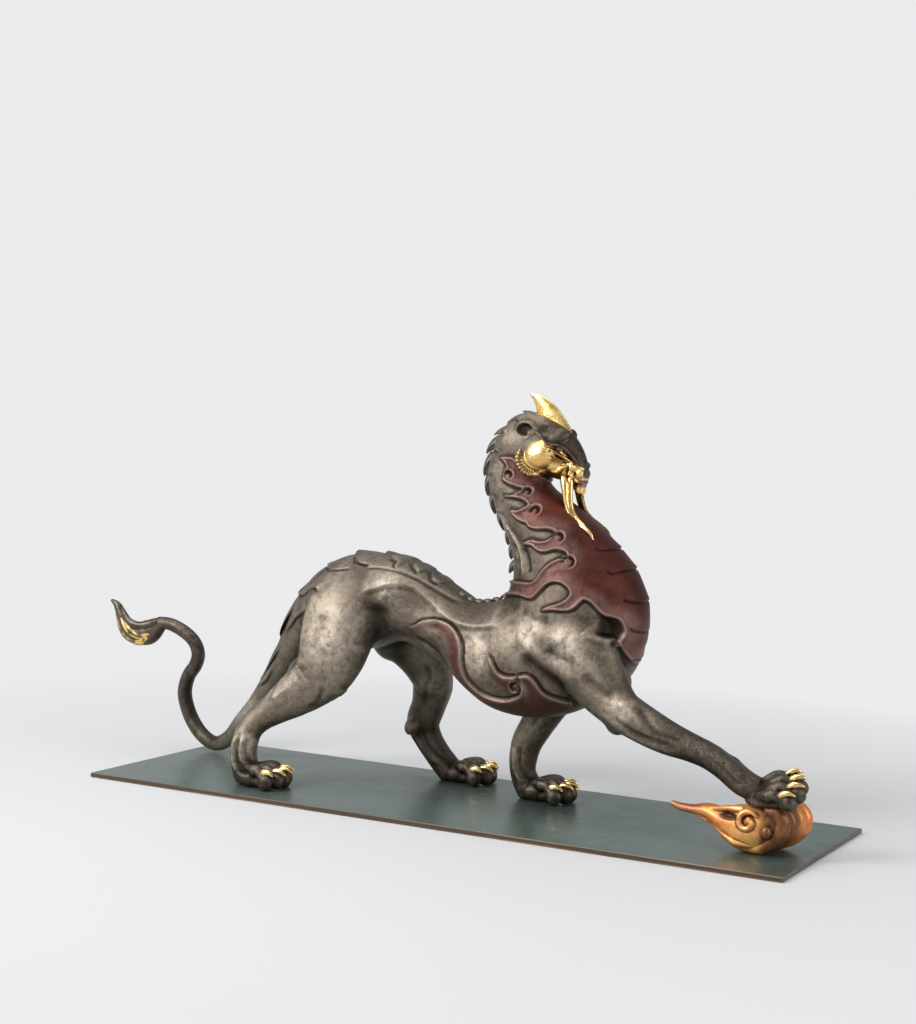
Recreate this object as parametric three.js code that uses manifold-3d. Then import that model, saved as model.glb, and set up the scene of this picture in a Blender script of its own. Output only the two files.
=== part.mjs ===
// Pixiu statue: a horned and clawed guardian beast of cast bronze, striding along a thin
// patinated plate with one forepaw raised on a scroll of cloud.
//
// Frame: millimetres, +Z up, +X towards the beast's head, -Y on its right side.
// The origin is the centre of the plate's underside.

import * as THREE from 'three';
import { mergeVertices } from 'three/addons/utils/BufferGeometryUtils.js';
import Module from 'manifold-3d';

const wasm = await Module();
wasm.setup();

// Driving dimensions
const PLATE_LENGTH = 600;
const PLATE_WIDTH = 195;
const PLATE_THICKNESS = 4;
const MIDDLE = 3; // y of the beast's plane of symmetry
const CLOUD_TOP = 40; // height of the flat that the raised paw stands on
const HORN_THICKNESS = 5;
const RELIEF = 2.6; // how far the flame mantle stands proud of the hide

// Trunk, cut across: [x, back, belly, half width]
const TRUNK = [
  [-156, 163, 134, 11],
  [-146, 177, 124, 22],
  [-130, 187, 116, 31],
  [-110, 195.5, 115, 36],
  [-86, 197, 119, 37],
  [-62, 196, 127, 35],
  [-40, 187, 122, 32],
  [-18, 175, 110, 31],
  [2, 165.5, 94, 34],
  [22, 167, 82, 38],
  [45, 176, 77, 41],
  [70, 182, 78, 43],
  [95, 184, 85, 42],
  [118, 180, 99, 36],
  [135, 168, 113, 26],
  [144, 152, 126, 12],
];

// Neck and breast, cut level: [z, nape, throat or breast, half width]
const NECK = [
  [119, 88, 136, 20],
  [128, 70, 143, 31],
  [140, 50, 147, 39.5],
  [156, 34, 149.5, 42],
  [170, 36, 148.5, 41],
  [184, 38, 144, 38],
  [198, 38, 137, 35],
  [210, 36, 127, 32],
  [221, 31, 115.5, 29.5],
  [231, 25, 104, 27.5],
  [241, 19, 90, 25.5],
  [252, 14.5, 73, 23.5],
  [265, 11, 60, 20.5],
  [278, 12, 56, 17.5],
  [290, 16.5, 54, 15],
  [300, 25, 50, 10],
];

// Head, cut across: [x, crown, jaw, half width]
const HEAD = [
  [17, 296, 284, 7],
  [24, 306, 276, 13.5],
  [34, 314.5, 270, 17],
  [45, 318.5, 268, 18],
  [56, 317, 268, 17.5],
  [66, 312.5, 267, 16],
  [76, 307, 265, 13.5],
  [84, 300.5, 261.5, 11],
  [90, 292.5, 259, 8.5],
  [94, 284, 259, 6.5],
  [96.3, 276, 264, 4.2],
];

// Legs and tail run along a path: [x, y, z, half depth, half width]
const HIND_RIGHT = [
  [-99, -6, 181, 22, 14],
  [-103, -23, 158, 34, 22],
  [-106, -31, 130, 34.5, 20.5],
  [-112, -36, 106, 28.5, 17],
  [-124, -40, 90, 22.5, 14.5],
  [-138, -43, 78.5, 18, 12.5],
  [-152.5, -46, 68, 14, 11],
  [-165, -49, 58.5, 11.5, 10],
  [-173.5, -51, 49, 11, 10],
  [-177, -53, 37, 11.5, 10],
  [-177, -54, 25, 11.5, 10.5],
  [-173.5, -55, 14, 11, 12],
  [-171, -55.5, 7.5, 9.5, 11],
];
const HIND_LEFT = [
  [-93, 12, 181, 22, 14],
  [-88, 29, 158, 33, 21],
  [-79, 38, 130, 28, 19.5],
  [-65, 46, 106, 21.5, 16.5],
  [-59, 51, 87, 18.5, 13.5],
  [-65, 56, 68, 15.5, 11.5],
  [-72, 60, 51, 15, 10.5],
  [-67.5, 63, 37, 12.5, 10],
  [-59.5, 65, 25, 11.5, 10.5],
  [-50, 66, 14.5, 11, 12],
  [-45, 66.5, 7.5, 10, 11],
];
const FORE_LEFT = [
  [94, 16, 156, 22, 14],
  [86, 29, 130, 26, 18],
  [79, 33, 115, 22.5, 16.5],
  [68, 34, 100, 19.5, 15.5],
  [55, 36, 82, 16.5, 14],
  [45.5, 37, 65, 14, 12],
  [37, 38, 50, 13, 11],
  [33.8, 38, 36, 12, 10.5],
  [34.5, 38, 24, 10.5, 11],
  [39.5, 38, 14, 11, 12],
  [43, 38, 7.5, 10, 11],
];
const FORE_RIGHT = [
  [86, -6, 172, 18, 12],
  [93, -15, 158, 29, 19],
  [104, -23, 141, 31, 20],
  [120, -27.5, 123, 26.5, 18],
  [135, -30, 106.5, 20.5, 16],
  [150, -32, 94.5, 16, 14],
  [167, -32, 87, 14.5, 13],
  [184.5, -32, 80, 13, 12],
  [202, -32, 75, 11, 11],
  [218, -32, 70, 10, 11],
  [232, -32, 63, 10, 11.5],
  [246, -32, 53.5, 10, 12.5],
  [257, -31.5, 49.5, 9, 12],
];
const TAIL = [
  [-126, 3, 166, 19, 16],
  [-145, 4, 153, 18, 15],
  [-163, 8, 129, 15, 13],
  [-181, 14, 102.5, 12.5, 10.5],
  [-201, 21, 76.5, 10, 9.5],
  [-219, 27, 55, 9, 8.6],
  [-237, 33, 38, 8, 8],
  [-255, 40, 20.5, 7.2, 7.2],
  [-274, 46, 12, 6.6, 6.6],
  [-291, 49, 17, 6.6, 6.6],
  [-303, 49, 30, 6.6, 6.6],
  [-309.5, 48, 45, 6.6, 6.6],
  [-310.5, 47, 57, 6.6, 6.6],
  [-306, 46, 70, 6.4, 6.4],
  [-297.5, 44, 80.5, 6.3, 6.3],
  [-293.5, 42, 91, 6.2, 6.2],
  [-297, 40, 102, 6, 6],
  [-307.5, 38, 110.5, 6, 6],
  [-321, 36, 116, 5.8, 5.8],
  [-333, 34, 116.5, 5.6, 5.6],
];
const TAIL_FLAME = [
  [-326, 34.5, 117, 4, 4],
  [-333, 34, 113, 8.5, 6.5],
  [-341, 32, 107.5, 11.3, 8],
  [-350, 31, 105.5, 10.5, 8],
  [-359.5, 30, 107, 9.8, 7],
  [-366.5, 30, 113, 8, 6],
  [-370.5, 29, 121.5, 5.5, 4.5],
  [-375, 28.5, 129.5, 3.6, 3],
  [-381, 28, 133.5, 1.4, 1.4],
];

// Paws: [across, forward] of each toe's root
const PAW_PITCH = 18; // of the raised paw, and its roll
const PAW_ROLL = 24;
const GROUND_CUT = 10; // deep enough to level every sole with the plate
const TOES = [[-13.5, 9], [-4.6, 14], [4.6, 14], [13.5, 9]];

// Dorsal plates, by their tips: [x, z, half width] on the nape, [x, half width, height above the back]
// on the back, [x, y, z, half width] on the tail
const NAPE_TIPS = [
  [46, 319, 5], [36.5, 318, 6], [23.5, 308, 7], [12.5, 298, 7], [6.5, 283, 7.5], [5.5, 265, 8], [9.5, 249, 8],
  [16.5, 235, 8], [25.5, 222, 7.5], [29.5, 211, 7.5], [32.5, 200, 7.5], [31.5, 189, 8],
];
const BACK_TIPS = [
  [30, 6, 0], [20, 6, 2], [13, 6, 2], [6, 6, 2], [-1, 6.5, 2], [-9, 7, 2], [-22, 9, 2.4], [-40, 12, 2.6],
  [-60, 15, 3], [-83, 17, 3.4], [-108, 17, 3.6], [-134, 14, 1.5],
];
const TAIL_TIPS = [
  [-134, 3, 184, 13], [-165, 5, 158, 11], [-182.5, 9, 119, 9], [-207, 21, 76, 7], [-230, 30, 47, 6],
];

// Flame mantle: each tongue by the curve's pull, its tip, and the notch under it, as x, z pairs
const TONGUES = [
  [28, 272, 36, 252, 50, 248],
  [46, 246, 41, 242, 60, 233],
  [56, 234, 53, 230, 84, 227],
  [72, 222, 58, 216, 84, 211],
  [70, 208, 45, 174, 82, 185],
];
const CURLS = [[36.5, 268.5, 5.5], [53, 256, 4.5], [64, 241, 5.5], [86, 222, 6], [98, 204, 7]];
const CURL_RISE = 1.6;
const CURL_TAPER = 0.7;
const CURL_TURN = 0.25;
const SCUTE_GROOVES = [[118, 214.5], [127, 200.5], [138, 180], [144, 156.5], [143, 132]];
const GROOVE = 1.8;
const NECK_SIDES = 12;
const TRUNK_SIDES = 12;
const HEAD_SIDES = 10;
const LEG_SIDES = 9;

// Ribbons of flame on the flank: [x, z, half height]
const RIBBON_RISE = 2.6;
const FLANK_RIBBON = [
  [-43, 145, 1.2], [-35, 142.5, 2], [-25, 146, 2.8], [-13, 147, 4], [-2, 141, 5.5], [5, 131, 6],
  [7.5, 118, 5], [14, 106, 4.5], [24, 97, 4], [37, 92, 3.6], [51, 92, 3], [61, 97, 2.8],
  [63, 105, 2.6], [57, 109.5, 2.2], [53.5, 105, 1.8],
];
const BELLY_TONGUE = [[31, 129.5, 1], [38, 124, 2.4], [42, 117, 3.2], [49, 110, 3.4], [60, 112, 2.4]];
const ELBOW_TONGUE = [[69, 115.5, 1.4], [76, 110, 2.4], [83, 102.5, 2.8], [93, 98, 2.2], [104, 96, 1]];

const FRILL_LOBES = 5; // scallops round the rear of each cheek

// Cloud scroll
const CLOUD_ROLLS = 4;
const HOOK_STEPS = 7;
const CLOUD_WISP = [
  [192.5, -36, 32.5, 1.4, 1.6], [200, -36, 30, 2.6, 3], [210, -36, 30, 3.4, 4.5], [221, -36, 30, 6.5, 7],
  [231, -36, 26.5, 9, 10.5], [242, -36, 23.5, 15.5, 13], [254, -35, 21, 18.5, 14.5], [266, -32, 24, 18, 18],
  [277, -29, 27, 15, 19], [285, -26, 30, 8, 16],
];

// Rows that lie on a smooth curve through the given rows, `steps` to each gap.
function smooth(rows, steps) {
  const curve = (p0, p1, p2, p3, t) => 0.5 * (2 * p1 + (p2 - p0) * t
    + (2 * p0 - 5 * p1 + 4 * p2 - p3) * t * t + (3 * p1 - p0 - 3 * p2 + p3) * t * t * t);
  const out = [];
  for (let i = 0; i < rows.length - 1; i += 1) {
    const before = rows[Math.max(i - 1, 0)];
    const after = rows[Math.min(i + 2, rows.length - 1)];
    for (let s = 0; s < steps; s += 1) {
      out.push(rows[i].map((value, k) => curve(before[k], value, rows[i + 1][k], after[k], s / steps)));
    }
  }
  out.push(rows.at(-1));
  return out;
}

// A closed geometry over rings of equal length, each end drawn in to a point a little beyond it.
function skin(rings, bulge = 0) {
  const sides = rings[0].length;
  const middle = (ring) => ring.reduce((sum, p) => sum.add(p), new THREE.Vector3()).divideScalar(sides);
  const first = middle(rings[0]);
  const last = middle(rings.at(-1));
  const out = (from, towards) => from.clone().sub(towards).normalize().multiplyScalar(bulge).add(from);
  const points = rings.flat();
  const poles = [points.length, points.length + 1];
  points.push(out(first, middle(rings[1])), out(last, middle(rings.at(-2))));
  const faces = [];
  for (let k = 0; k < sides; k += 1) {
    const next = (k + 1) % sides;
    faces.push(poles[0], next, k);
    for (let r = 0; r < rings.length - 1; r += 1) {
      const a = r * sides;
      const b = a + sides;
      faces.push(a + k, a + next, b + next, a + k, b + next, b + k);
    }
    const end = (rings.length - 1) * sides;
    faces.push(poles[1], end + k, end + next);
  }
  const geometry = new THREE.BufferGeometry();
  const flat = points.flatMap((p) => p.toArray());
  geometry.setAttribute('position', new THREE.Float32BufferAttribute(flat, 3));
  geometry.setIndex(faces);
  return geometry;
}

// Geometry to a solid that can be joined and cut. A shape that came out inside out is turned round.
function solid(geometry) {
  geometry.deleteAttribute('normal');
  geometry.deleteAttribute('uv');
  const merged = mergeVertices(geometry, 1e-4);
  const at = merged.attributes.position;
  const index = Array.from(merged.index.array);
  const corner = (i) => new THREE.Vector3().fromBufferAttribute(at, index[i]);
  let volume = 0;
  for (let i = 0; i < index.length; i += 3) {
    volume += corner(i).dot(corner(i + 1).cross(corner(i + 2)));
  }
  if (volume < 0) index.reverse();
  return new wasm.Manifold(new wasm.Mesh({
    numProp: 3,
    vertProperties: Float32Array.from(at.array),
    triVerts: Uint32Array.from(index),
  }));
}

const join = (...solids) => solids.flat().reduce((whole, piece) => whole.add(piece));

// The other side of the beast: the same form mirrored in its middle plane.
function bothSides(makeSide) {
  return [makeSide(-1), makeSide(1)];
}

// A body from slices across X: [x, top, bottom, half width]
function slicedAcross(rows, steps, sides, middle = MIDDLE) {
  return skin(smooth(rows, steps).map(([x, top, bottom, half]) => {
    const ring = [];
    for (let k = 0; k < sides; k += 1) {
      const turn = (k / sides) * Math.PI * 2;
      ring.push(new THREE.Vector3(x, middle + half * Math.cos(turn),
        (top + bottom) / 2 + ((top - bottom) / 2) * Math.sin(turn)));
    }
    return ring;
  }));
}

// A body from level slices: [z, back, front, half width], grown outwards by `grow`
function slicedLevel(rows, steps, sides, grow = 0) {
  return skin(smooth(rows, steps).map(([z, back, front, half]) => {
    const ring = [];
    for (let k = 0; k < sides; k += 1) {
      const turn = (k / sides) * Math.PI * 2;
      ring.push(new THREE.Vector3((back + front) / 2 + ((front - back) / 2 + grow) * Math.cos(turn),
        MIDDLE + (half + grow) * Math.sin(turn), z));
    }
    return ring;
  }));
}

// A limb along a path: [x, y, z, half depth, half width], its width lying across the beast
function limb(rows, steps, sides, bulge = 4) {
  const path = smooth(rows, steps);
  const place = path.map(([x, y, z]) => new THREE.Vector3(x, y, z));
  return skin(path.map(([, , , depth, width], i) => {
    const along = place[Math.min(i + 1, place.length - 1)].clone().sub(place[Math.max(i - 1, 0)]).normalize();
    const deep = new THREE.Vector3(0, 1, 0).cross(along).normalize();
    const across = along.clone().cross(deep);
    const ring = [];
    for (let k = 0; k < sides; k += 1) {
      const turn = (k / sides) * Math.PI * 2;
      ring.push(place[i].clone().addScaledVector(deep, depth * Math.cos(turn))
        .addScaledVector(across, width * Math.sin(turn)));
    }
    return ring;
  }), bulge);
}

function ball([x, y, z], [rx, ry, rz], around = 10, down = 7) {
  return new THREE.SphereGeometry(1, around, down).rotateX(Math.PI / 2).scale(rx, ry, rz).translate(x, y, z);
}

// The row of a table at a given first value, on straight lines between its rows
function rowAt(rows, value) {
  const i = Math.min(Math.max(rows.findIndex((row) => row[0] >= value), 1), rows.length - 1);
  const share = THREE.MathUtils.clamp((value - rows[i - 1][0]) / (rows[i][0] - rows[i - 1][0]), 0, 1);
  return rows[i - 1].map((from, k) => from + (rows[i][k] - from) * share);
}

// How far a slice of half width `half` reaches sideways at `offset` from its middle
const reach = (half, offset, radius) => half * Math.sqrt(Math.max(1 - (offset / radius) ** 2, 0));

function reachAcross(rows, x, z) {
  const [, top, bottom, half] = rowAt(rows, x);
  return reach(half, z - (top + bottom) / 2, (top - bottom) / 2);
}

function neckReach(x, z) {
  const [, back, front, half] = rowAt(NECK, z);
  return reach(half, x - (back + front) / 2, (front - back) / 2);
}

// Carving that lies on a flank: [x, z, half height] becomes a raised band on that side's surface
function flankBand(rows, side, surface, thickness, sides = 5) {
  const path = rows.map(([x, z, half]) => [x, MIDDLE + side * surface(x, z), z, half, thickness]);
  return solid(limb(path, 1, sides, 1));
}

// A paw with its toes to +X: pad, four knobbed toes and four hooked claws. It is pitched up and rolled
// outwards by the given degrees, and cut level at its sole.
function paw([x, y, sole], pitch = 0, roll = 0) {
  const pieces = [ball([-2, 0, 8], [18, 17.5, 11], 8, 4)];
  for (const [across, forward] of TOES) {
    pieces.push(limb([
      [forward - 10, across * 0.92, 12, 5.5, 4.6],
      [forward, across * 1.04, 13.8, 7, 5],
      [forward + 6, across * 1.1, 7, 6, 5],
    ], 1, 5, 3.5));
    pieces.push(limb([
      [forward + 1, across * 1.06, 17, 3.4, 3],
      [forward + 8, across * 1.12, 18.5, 2.6, 2.4],
      [forward + 14, across * 1.16, 15, 0.8, 0.8],
    ], 1, 3, 1));
  }
  const below = solid(new THREE.BoxGeometry(120, 120, 60).translate(0, 0, -30));
  const tilted = join(pieces.map(solid)).rotate([roll, 0, 0]).rotate([0, -pitch, 0]);
  return tilted.subtract(below).translate([x, y, sole]);
}

function horn() {
  const outline = new THREE.Shape();
  outline.moveTo(50.5, 309);
  outline.lineTo(50.5, 318);
  outline.quadraticCurveTo(49.5, 327, 41.5, 333);
  outline.quadraticCurveTo(52, 334.5, 61, 328);
  outline.quadraticCurveTo(73, 319.5, 82, 304.5);
  outline.lineTo(74, 302);
  outline.closePath();
  const bevel = HORN_THICKNESS / 4;
  const depth = HORN_THICKNESS - 2 * bevel;
  return new THREE.ExtrudeGeometry(outline, {
    depth, bevelThickness: bevel, bevelSize: bevel, bevelOffset: -bevel, bevelSegments: 1, curveSegments: 5,
  }).rotateX(Math.PI / 2).translate(0, MIDDLE + depth / 2, 0);
}

// One side of the face: round cheek with its scalloped frill, eye, brow, ear, lip and tusk
function face(side) {
  const y = (x, z, lift = 0) => MIDDLE + side * (reachAcross(HEAD, x, z) + lift);
  const pieces = [
    ball([59, MIDDLE + side * 10.5, 283], [17, 12, 15], 10, 6),
    ball([49, y(49, 304, -2), 304], [9, 5, 9], 7, 4),
    ball([78, y(78, 289, -0.6), 289], [4.5, 2.6, 2.8], 5, 3),
    ball([88, MIDDLE + side * 6, 271], [6.5, 4.5, 5.5], 6, 4),
    limb([
      [62, y(62, 298, -0.5), 298, 2, 1.8],
      [76, y(76, 294.5, -0.3), 294.5, 2.6, 2.4],
      [87, y(87, 286, -0.3), 286, 1.6, 1.6],
    ], 1, 4, 2),
    limb([
      [70, y(70, 276, -1), 276, 2.8, 2.6],
      [82, y(82, 269, -0.5), 269, 3, 3],
      [92, MIDDLE + side * 3, 264, 2, 2],
    ], 1, 4, 2),
    limb([
      [79, y(79, 277, 0.4), 277, 2, 1.8],
      [83, y(83, 267, 1.4), 266.5, 0.8, 0.8],
    ], 1, 4, 0.5),
  ];
  for (let i = 0; i < FRILL_LOBES; i += 1) {
    const turn = THREE.MathUtils.degToRad(125 + i * 32);
    const place = [58.5 + 18.5 * Math.cos(turn), MIDDLE + side * 16.5, 282.5 + 16 * Math.sin(turn)];
    pieces.push(ball(place, [4.8, 4, 5.8], 5, 3));
  }
  return join(pieces.map(solid));
}

function beardStrand(side) {
  return solid(limb([
    [81, MIDDLE + side * 9, 270, 3.6, 3],
    [83.5, MIDDLE + side * 12.5, 250, 3.2, 3],
    [93, MIDDLE + side * 14.5, 234, 2.8, 2.5],
    [103, MIDDLE + side * 16.5, 228, 2.2, 2],
    [111, MIDDLE + side * 17, 220, 1.1, 1.1],
  ], 1, 5, 2));
}

// Overlapping plates down the middle of nape, back and tail. Each runs from the one before it to its
// own raised tip, towards the tail.
function dorsalPlates() {
  const plate = ([ax, ay, az], [bx, by, bz], width, inset) => {
    const start = new THREE.Vector3(ax, ay, az);
    const tip = new THREE.Vector3(bx, by, bz);
    const along = tip.clone().sub(start).normalize();
    const inwards = along.clone().cross(new THREE.Vector3(0, 1, 0)).normalize().multiplyScalar(inset);
    const root = start.clone().addScaledVector(inwards, 0.75);
    const belly = start.clone().lerp(tip, 0.6).addScaledVector(inwards, 0.55);
    return solid(limb([
      [root.x, root.y, root.z, inset * 0.5, width * 0.8],
      [belly.x, belly.y, belly.z, inset * 0.62, width],
      [tip.x, tip.y, tip.z, 0.6, width * 0.25],
    ], 1, 3, 0.5));
  };
  const pieces = [];
  const line = (tips, inset) => {
    for (let i = 1; i < tips.length; i += 1) {
      pieces.push(plate(tips[i - 1], tips[i], tips[i][3], inset));
    }
  };
  line(NAPE_TIPS.map(([x, z, half]) => [x, MIDDLE, z, half]), 9);
  line(BACK_TIPS.map(([x, half, proud]) => [x, MIDDLE, rowAt(TRUNK, x)[1] + proud, half]), 5);
  line(TAIL_TIPS, 10);
  return pieces;
}

// The red mantle of neck and breast: flame tongues at its rear edge, broad scutes down its front
function mantle() {
  const outline = new THREE.Shape();
  outline.moveTo(60, 276);
  outline.lineTo(38, 276);
  for (const [noseX, noseZ, tipX, tipZ, notchX, notchZ] of TONGUES) {
    outline.quadraticCurveTo(noseX, noseZ, tipX, tipZ);
    outline.quadraticCurveTo((tipX + notchX) / 2, tipZ - 3, notchX, notchZ);
  }
  outline.quadraticCurveTo(104, 188, 102, 180);
  outline.quadraticCurveTo(98, 172, 78, 168);
  outline.quadraticCurveTo(100, 163, 114, 175);
  outline.quadraticCurveTo(128, 172, 137, 163);
  outline.quadraticCurveTo(144, 152, 138, 147);
  outline.quadraticCurveTo(143, 134, 137, 116);
  outline.lineTo(175, 116);
  outline.lineTo(175, 276);
  outline.closePath();
  const span = 140;
  const cut = new THREE.ExtrudeGeometry(outline, { depth: span, bevelEnabled: false, curveSegments: 2 });
  const through = solid(cut.rotateX(Math.PI / 2).translate(0, MIDDLE + span / 2, 0));
  let plates = solid(slicedLevel(NECK, 1, NECK_SIDES, RELIEF)).intersect(through);
  for (const [x, z] of SCUTE_GROOVES) {
    plates = plates.subtract(solid(new THREE.BoxGeometry(80, span, GROOVE).translate(x + 40, MIDDLE, z)));
  }
  return plates;
}

// A curl at the root of a tongue, as a low tapered boss on the mantle
function curl(side, [x, z, radius]) {
  const boss = new THREE.CylinderGeometry(radius * CURL_TAPER, radius, CURL_RISE * 2, 8);
  if (side < 0) boss.rotateX(Math.PI);
  return solid(boss.rotateZ(-side * CURL_TURN).translate(x, MIDDLE + side * (neckReach(x, z) + RELIEF), z));
}

function carving(side) {
  const trunk = (x, z) => reachAcross(TRUNK, x, z);
  return [
    ...CURLS.map((place) => curl(side, place)),
    flankBand(FLANK_RIBBON, side, trunk, RIBBON_RISE),
    flankBand(BELLY_TONGUE, side, trunk, RIBBON_RISE),
    flankBand(ELBOW_TONGUE, side, trunk, RIBBON_RISE),
  ];
}

// Hollows: the ear, and the dark pocket under the mantle's edge beside the shoulder
function hollows(side) {
  return join(
    solid(ball([48, MIDDLE + side * (reachAcross(HEAD, 48, 304) + 3), 304], [6, 4.5, 6], 7, 4)),
    solid(ball([127, MIDDLE + side * 38, 154], [11, 10, 7.5], 8, 5)),
  );
}

const modelled = join(
  solid(slicedAcross(TRUNK, 1, TRUNK_SIDES)),
  solid(slicedLevel(NECK, 1, NECK_SIDES)),
  mantle(),
  solid(slicedAcross(HEAD, 1, HEAD_SIDES)),
  solid(limb(HIND_RIGHT, 1, LEG_SIDES, 3)),
  solid(limb(HIND_LEFT, 1, LEG_SIDES, 3)),
  solid(limb(FORE_LEFT, 1, LEG_SIDES, 3)),
  solid(limb(FORE_RIGHT, 1, LEG_SIDES, 3)),
  solid(limb(TAIL, 1, 6)),
  solid(limb(TAIL_FLAME, 1, 7, 2)),
  solid(horn()),
  dorsalPlates(),
  bothSides(carving).flat(),
  bothSides(face),
  bothSides(beardStrand),
  solid(ball([96, MIDDLE, 278], [3, 2.5, 3], 5, 4)),
  solid(ball([92, MIDDLE, 259], [4.5, 5, 4.5], 6, 4)),
  paw([-159, -57, PLATE_THICKNESS]),
  paw([-33, 67, PLATE_THICKNESS]),
  paw([54, 38, PLATE_THICKNESS]),
  paw([271, -31, CLOUD_TOP], PAW_PITCH, PAW_ROLL),
);
const ground = solid(new THREE.BoxGeometry(PLATE_LENGTH, PLATE_WIDTH, GROUND_CUT)
  .translate(0, 0, PLATE_THICKNESS - GROUND_CUT / 2));
const figure = modelled.subtract(join(bothSides(hollows))).subtract(ground);

// The scroll of cloud: a swept wisp running into a full body, rolls fanning over its far end, and a
// hooked curl and a bud on the near face
function cloud() {
  const pieces = [limb(CLOUD_WISP, 1, 8, 1)];
  for (let i = 0; i < CLOUD_ROLLS; i += 1) {
    const y = -38 + i * 9.5;
    pieces.push(limb([
      [256, y, 11, 6, 6],
      [270, y, 14.5, 7, 6],
      [279.5, y, 21.5, 7, 6],
      [284.5, y, 30.5, 7, 6],
      [281, y, 36, 6.5, 5.5],
    ], 1, 6, 3));
  }
  const hook = [];
  for (let i = 0; i <= HOOK_STEPS; i += 1) {
    const turn = THREE.MathUtils.degToRad(60 + (i * 290) / HOOK_STEPS);
    const radius = 7.5 - (i * 3.5) / HOOK_STEPS;
    hook.push([248 + radius * Math.cos(turn), -49, 26 + radius * Math.sin(turn), 2.4 - i * 0.15, 3]);
  }
  pieces.push(limb(hook, 1, 5, 1));
  pieces.push(ball([264, -49, 20.5], [4.2, 3.5, 5], 7, 4));
  const trim = (z, up) => solid(new THREE.BoxGeometry(300, 200, 60).translate(240, 0, z + (up ? 30 : -30)));
  return join(pieces.map(solid)).subtract(trim(CLOUD_TOP, true)).subtract(trim(PLATE_THICKNESS, false));
}

function mesh(name, shape, color, roughness, metalness) {
  const { vertProperties, triVerts } = shape.getMesh();
  const geometry = new THREE.BufferGeometry();
  geometry.setAttribute('position', new THREE.BufferAttribute(Float32Array.from(vertProperties), 3));
  geometry.setIndex(new THREE.BufferAttribute(Uint32Array.from(triVerts), 1));
  geometry.computeVertexNormals();
  const made = new THREE.Mesh(geometry, new THREE.MeshStandardMaterial({ color, roughness, metalness }));
  made.name = name;
  return made;
}

const plate = solid(new THREE.BoxGeometry(PLATE_LENGTH, PLATE_WIDTH, PLATE_THICKNESS)
  .translate(0, 0, PLATE_THICKNESS / 2));

const statue = new THREE.Group();
statue.add(mesh('pixiu_figure', figure, 0x6b6259, 0.45, 0.85));
statue.add(mesh('base_plate', plate, 0x45534e, 0.35, 0.8));
statue.add(mesh('cloud_scroll', cloud(), 0xc07a35, 0.4, 0.85));

export default statue;
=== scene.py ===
# %% [markdown]
# A pixiu is a horned guardian beast. This one is cast in bronze and strides along a thin plate, with
# one forepaw on a scroll of cloud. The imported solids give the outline, and every piece below is
# modelled around them in the same frame: metres, +Z up, +X to the head, the beast's right side at -Y.

# %% Load the frame
import bpy
import math
import numpy as np
from mathutils import Matrix, Vector


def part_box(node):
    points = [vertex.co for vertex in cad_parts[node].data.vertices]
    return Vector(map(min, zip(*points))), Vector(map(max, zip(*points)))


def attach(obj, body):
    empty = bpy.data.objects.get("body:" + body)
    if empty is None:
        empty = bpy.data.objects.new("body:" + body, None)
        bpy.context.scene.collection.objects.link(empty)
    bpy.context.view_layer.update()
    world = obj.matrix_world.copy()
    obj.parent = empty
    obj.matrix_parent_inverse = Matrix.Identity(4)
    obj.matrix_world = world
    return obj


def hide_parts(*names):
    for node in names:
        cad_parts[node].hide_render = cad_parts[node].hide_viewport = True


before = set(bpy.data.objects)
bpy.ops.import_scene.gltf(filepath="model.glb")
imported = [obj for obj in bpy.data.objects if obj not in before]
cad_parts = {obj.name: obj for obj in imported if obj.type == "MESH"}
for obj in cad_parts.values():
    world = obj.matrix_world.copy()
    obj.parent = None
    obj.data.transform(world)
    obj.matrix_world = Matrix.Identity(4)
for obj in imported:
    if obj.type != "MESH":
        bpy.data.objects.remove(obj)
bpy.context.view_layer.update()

MM = 0.001
MIDDLE = 3.0          # y of the beast's plane of symmetry
PLATE_LOW, PLATE_HIGH = np.array(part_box("base_plate")) / MM
PLATE_TOP = round(float(PLATE_HIGH[2]), 2)
CLOUD_TOP = round(float(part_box("cloud_scroll")[1][2]) / MM, 2)
print("plate top", PLATE_TOP, "cloud top", CLOUD_TOP)

# %% [markdown]
# The camera comes first, because every later choice is judged through it. It stands a little above
# the plate, to the beast's right and in front. Its place, its lens and its small roll were solved
# beforehand, from the plate's corners in the photograph and the plate's real size.

# %% Camera
CAMERA_PLACE = Vector((0.7004, -1.3625, 0.3158))
CAMERA_AZIMUTH = math.radians(27.693)
CAMERA_HEIGHT_ANGLE = math.radians(2.984)
CAMERA_ROLL = math.radians(2.177)
LENS = 67.37


def camera_turn(azimuth, height, roll):
    """A camera's turn from its compass angle, its angle above the level and its roll"""
    level = math.cos(height)
    back = Vector((math.sin(azimuth) * level, -math.cos(azimuth) * level, math.sin(height)))
    right = Vector((math.cos(azimuth), math.sin(azimuth), 0.0))
    up = back.cross(right)
    across = right * math.cos(roll) + up * math.sin(roll)
    upward = up * math.cos(roll) - right * math.sin(roll)
    return Matrix((across, upward, back)).transposed()


eye = bpy.data.objects.new("camera", bpy.data.cameras.new("camera"))
bpy.context.scene.collection.objects.link(eye)
eye.data.lens = LENS
eye.data.clip_start = 0.05
eye.matrix_world = Matrix.Translation(CAMERA_PLACE) @ camera_turn(
    CAMERA_AZIMUTH, CAMERA_HEIGHT_ANGLE, CAMERA_ROLL).to_4x4()
bpy.context.scene.camera = eye
print("camera", LENS, "mm lens")

# %% [markdown]
# A studio photographer lights bronze with big soft boxes, because a metal shows its surroundings
# rather than the lamp. A wide box overhead draws the back, a tall one on the left of the view draws
# the flank, a weak one on the right rounds the breast, and the pale room fills the rest. The room
# looks lighter to the camera than it shines, as a paper backdrop behind lit metal does.

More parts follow.
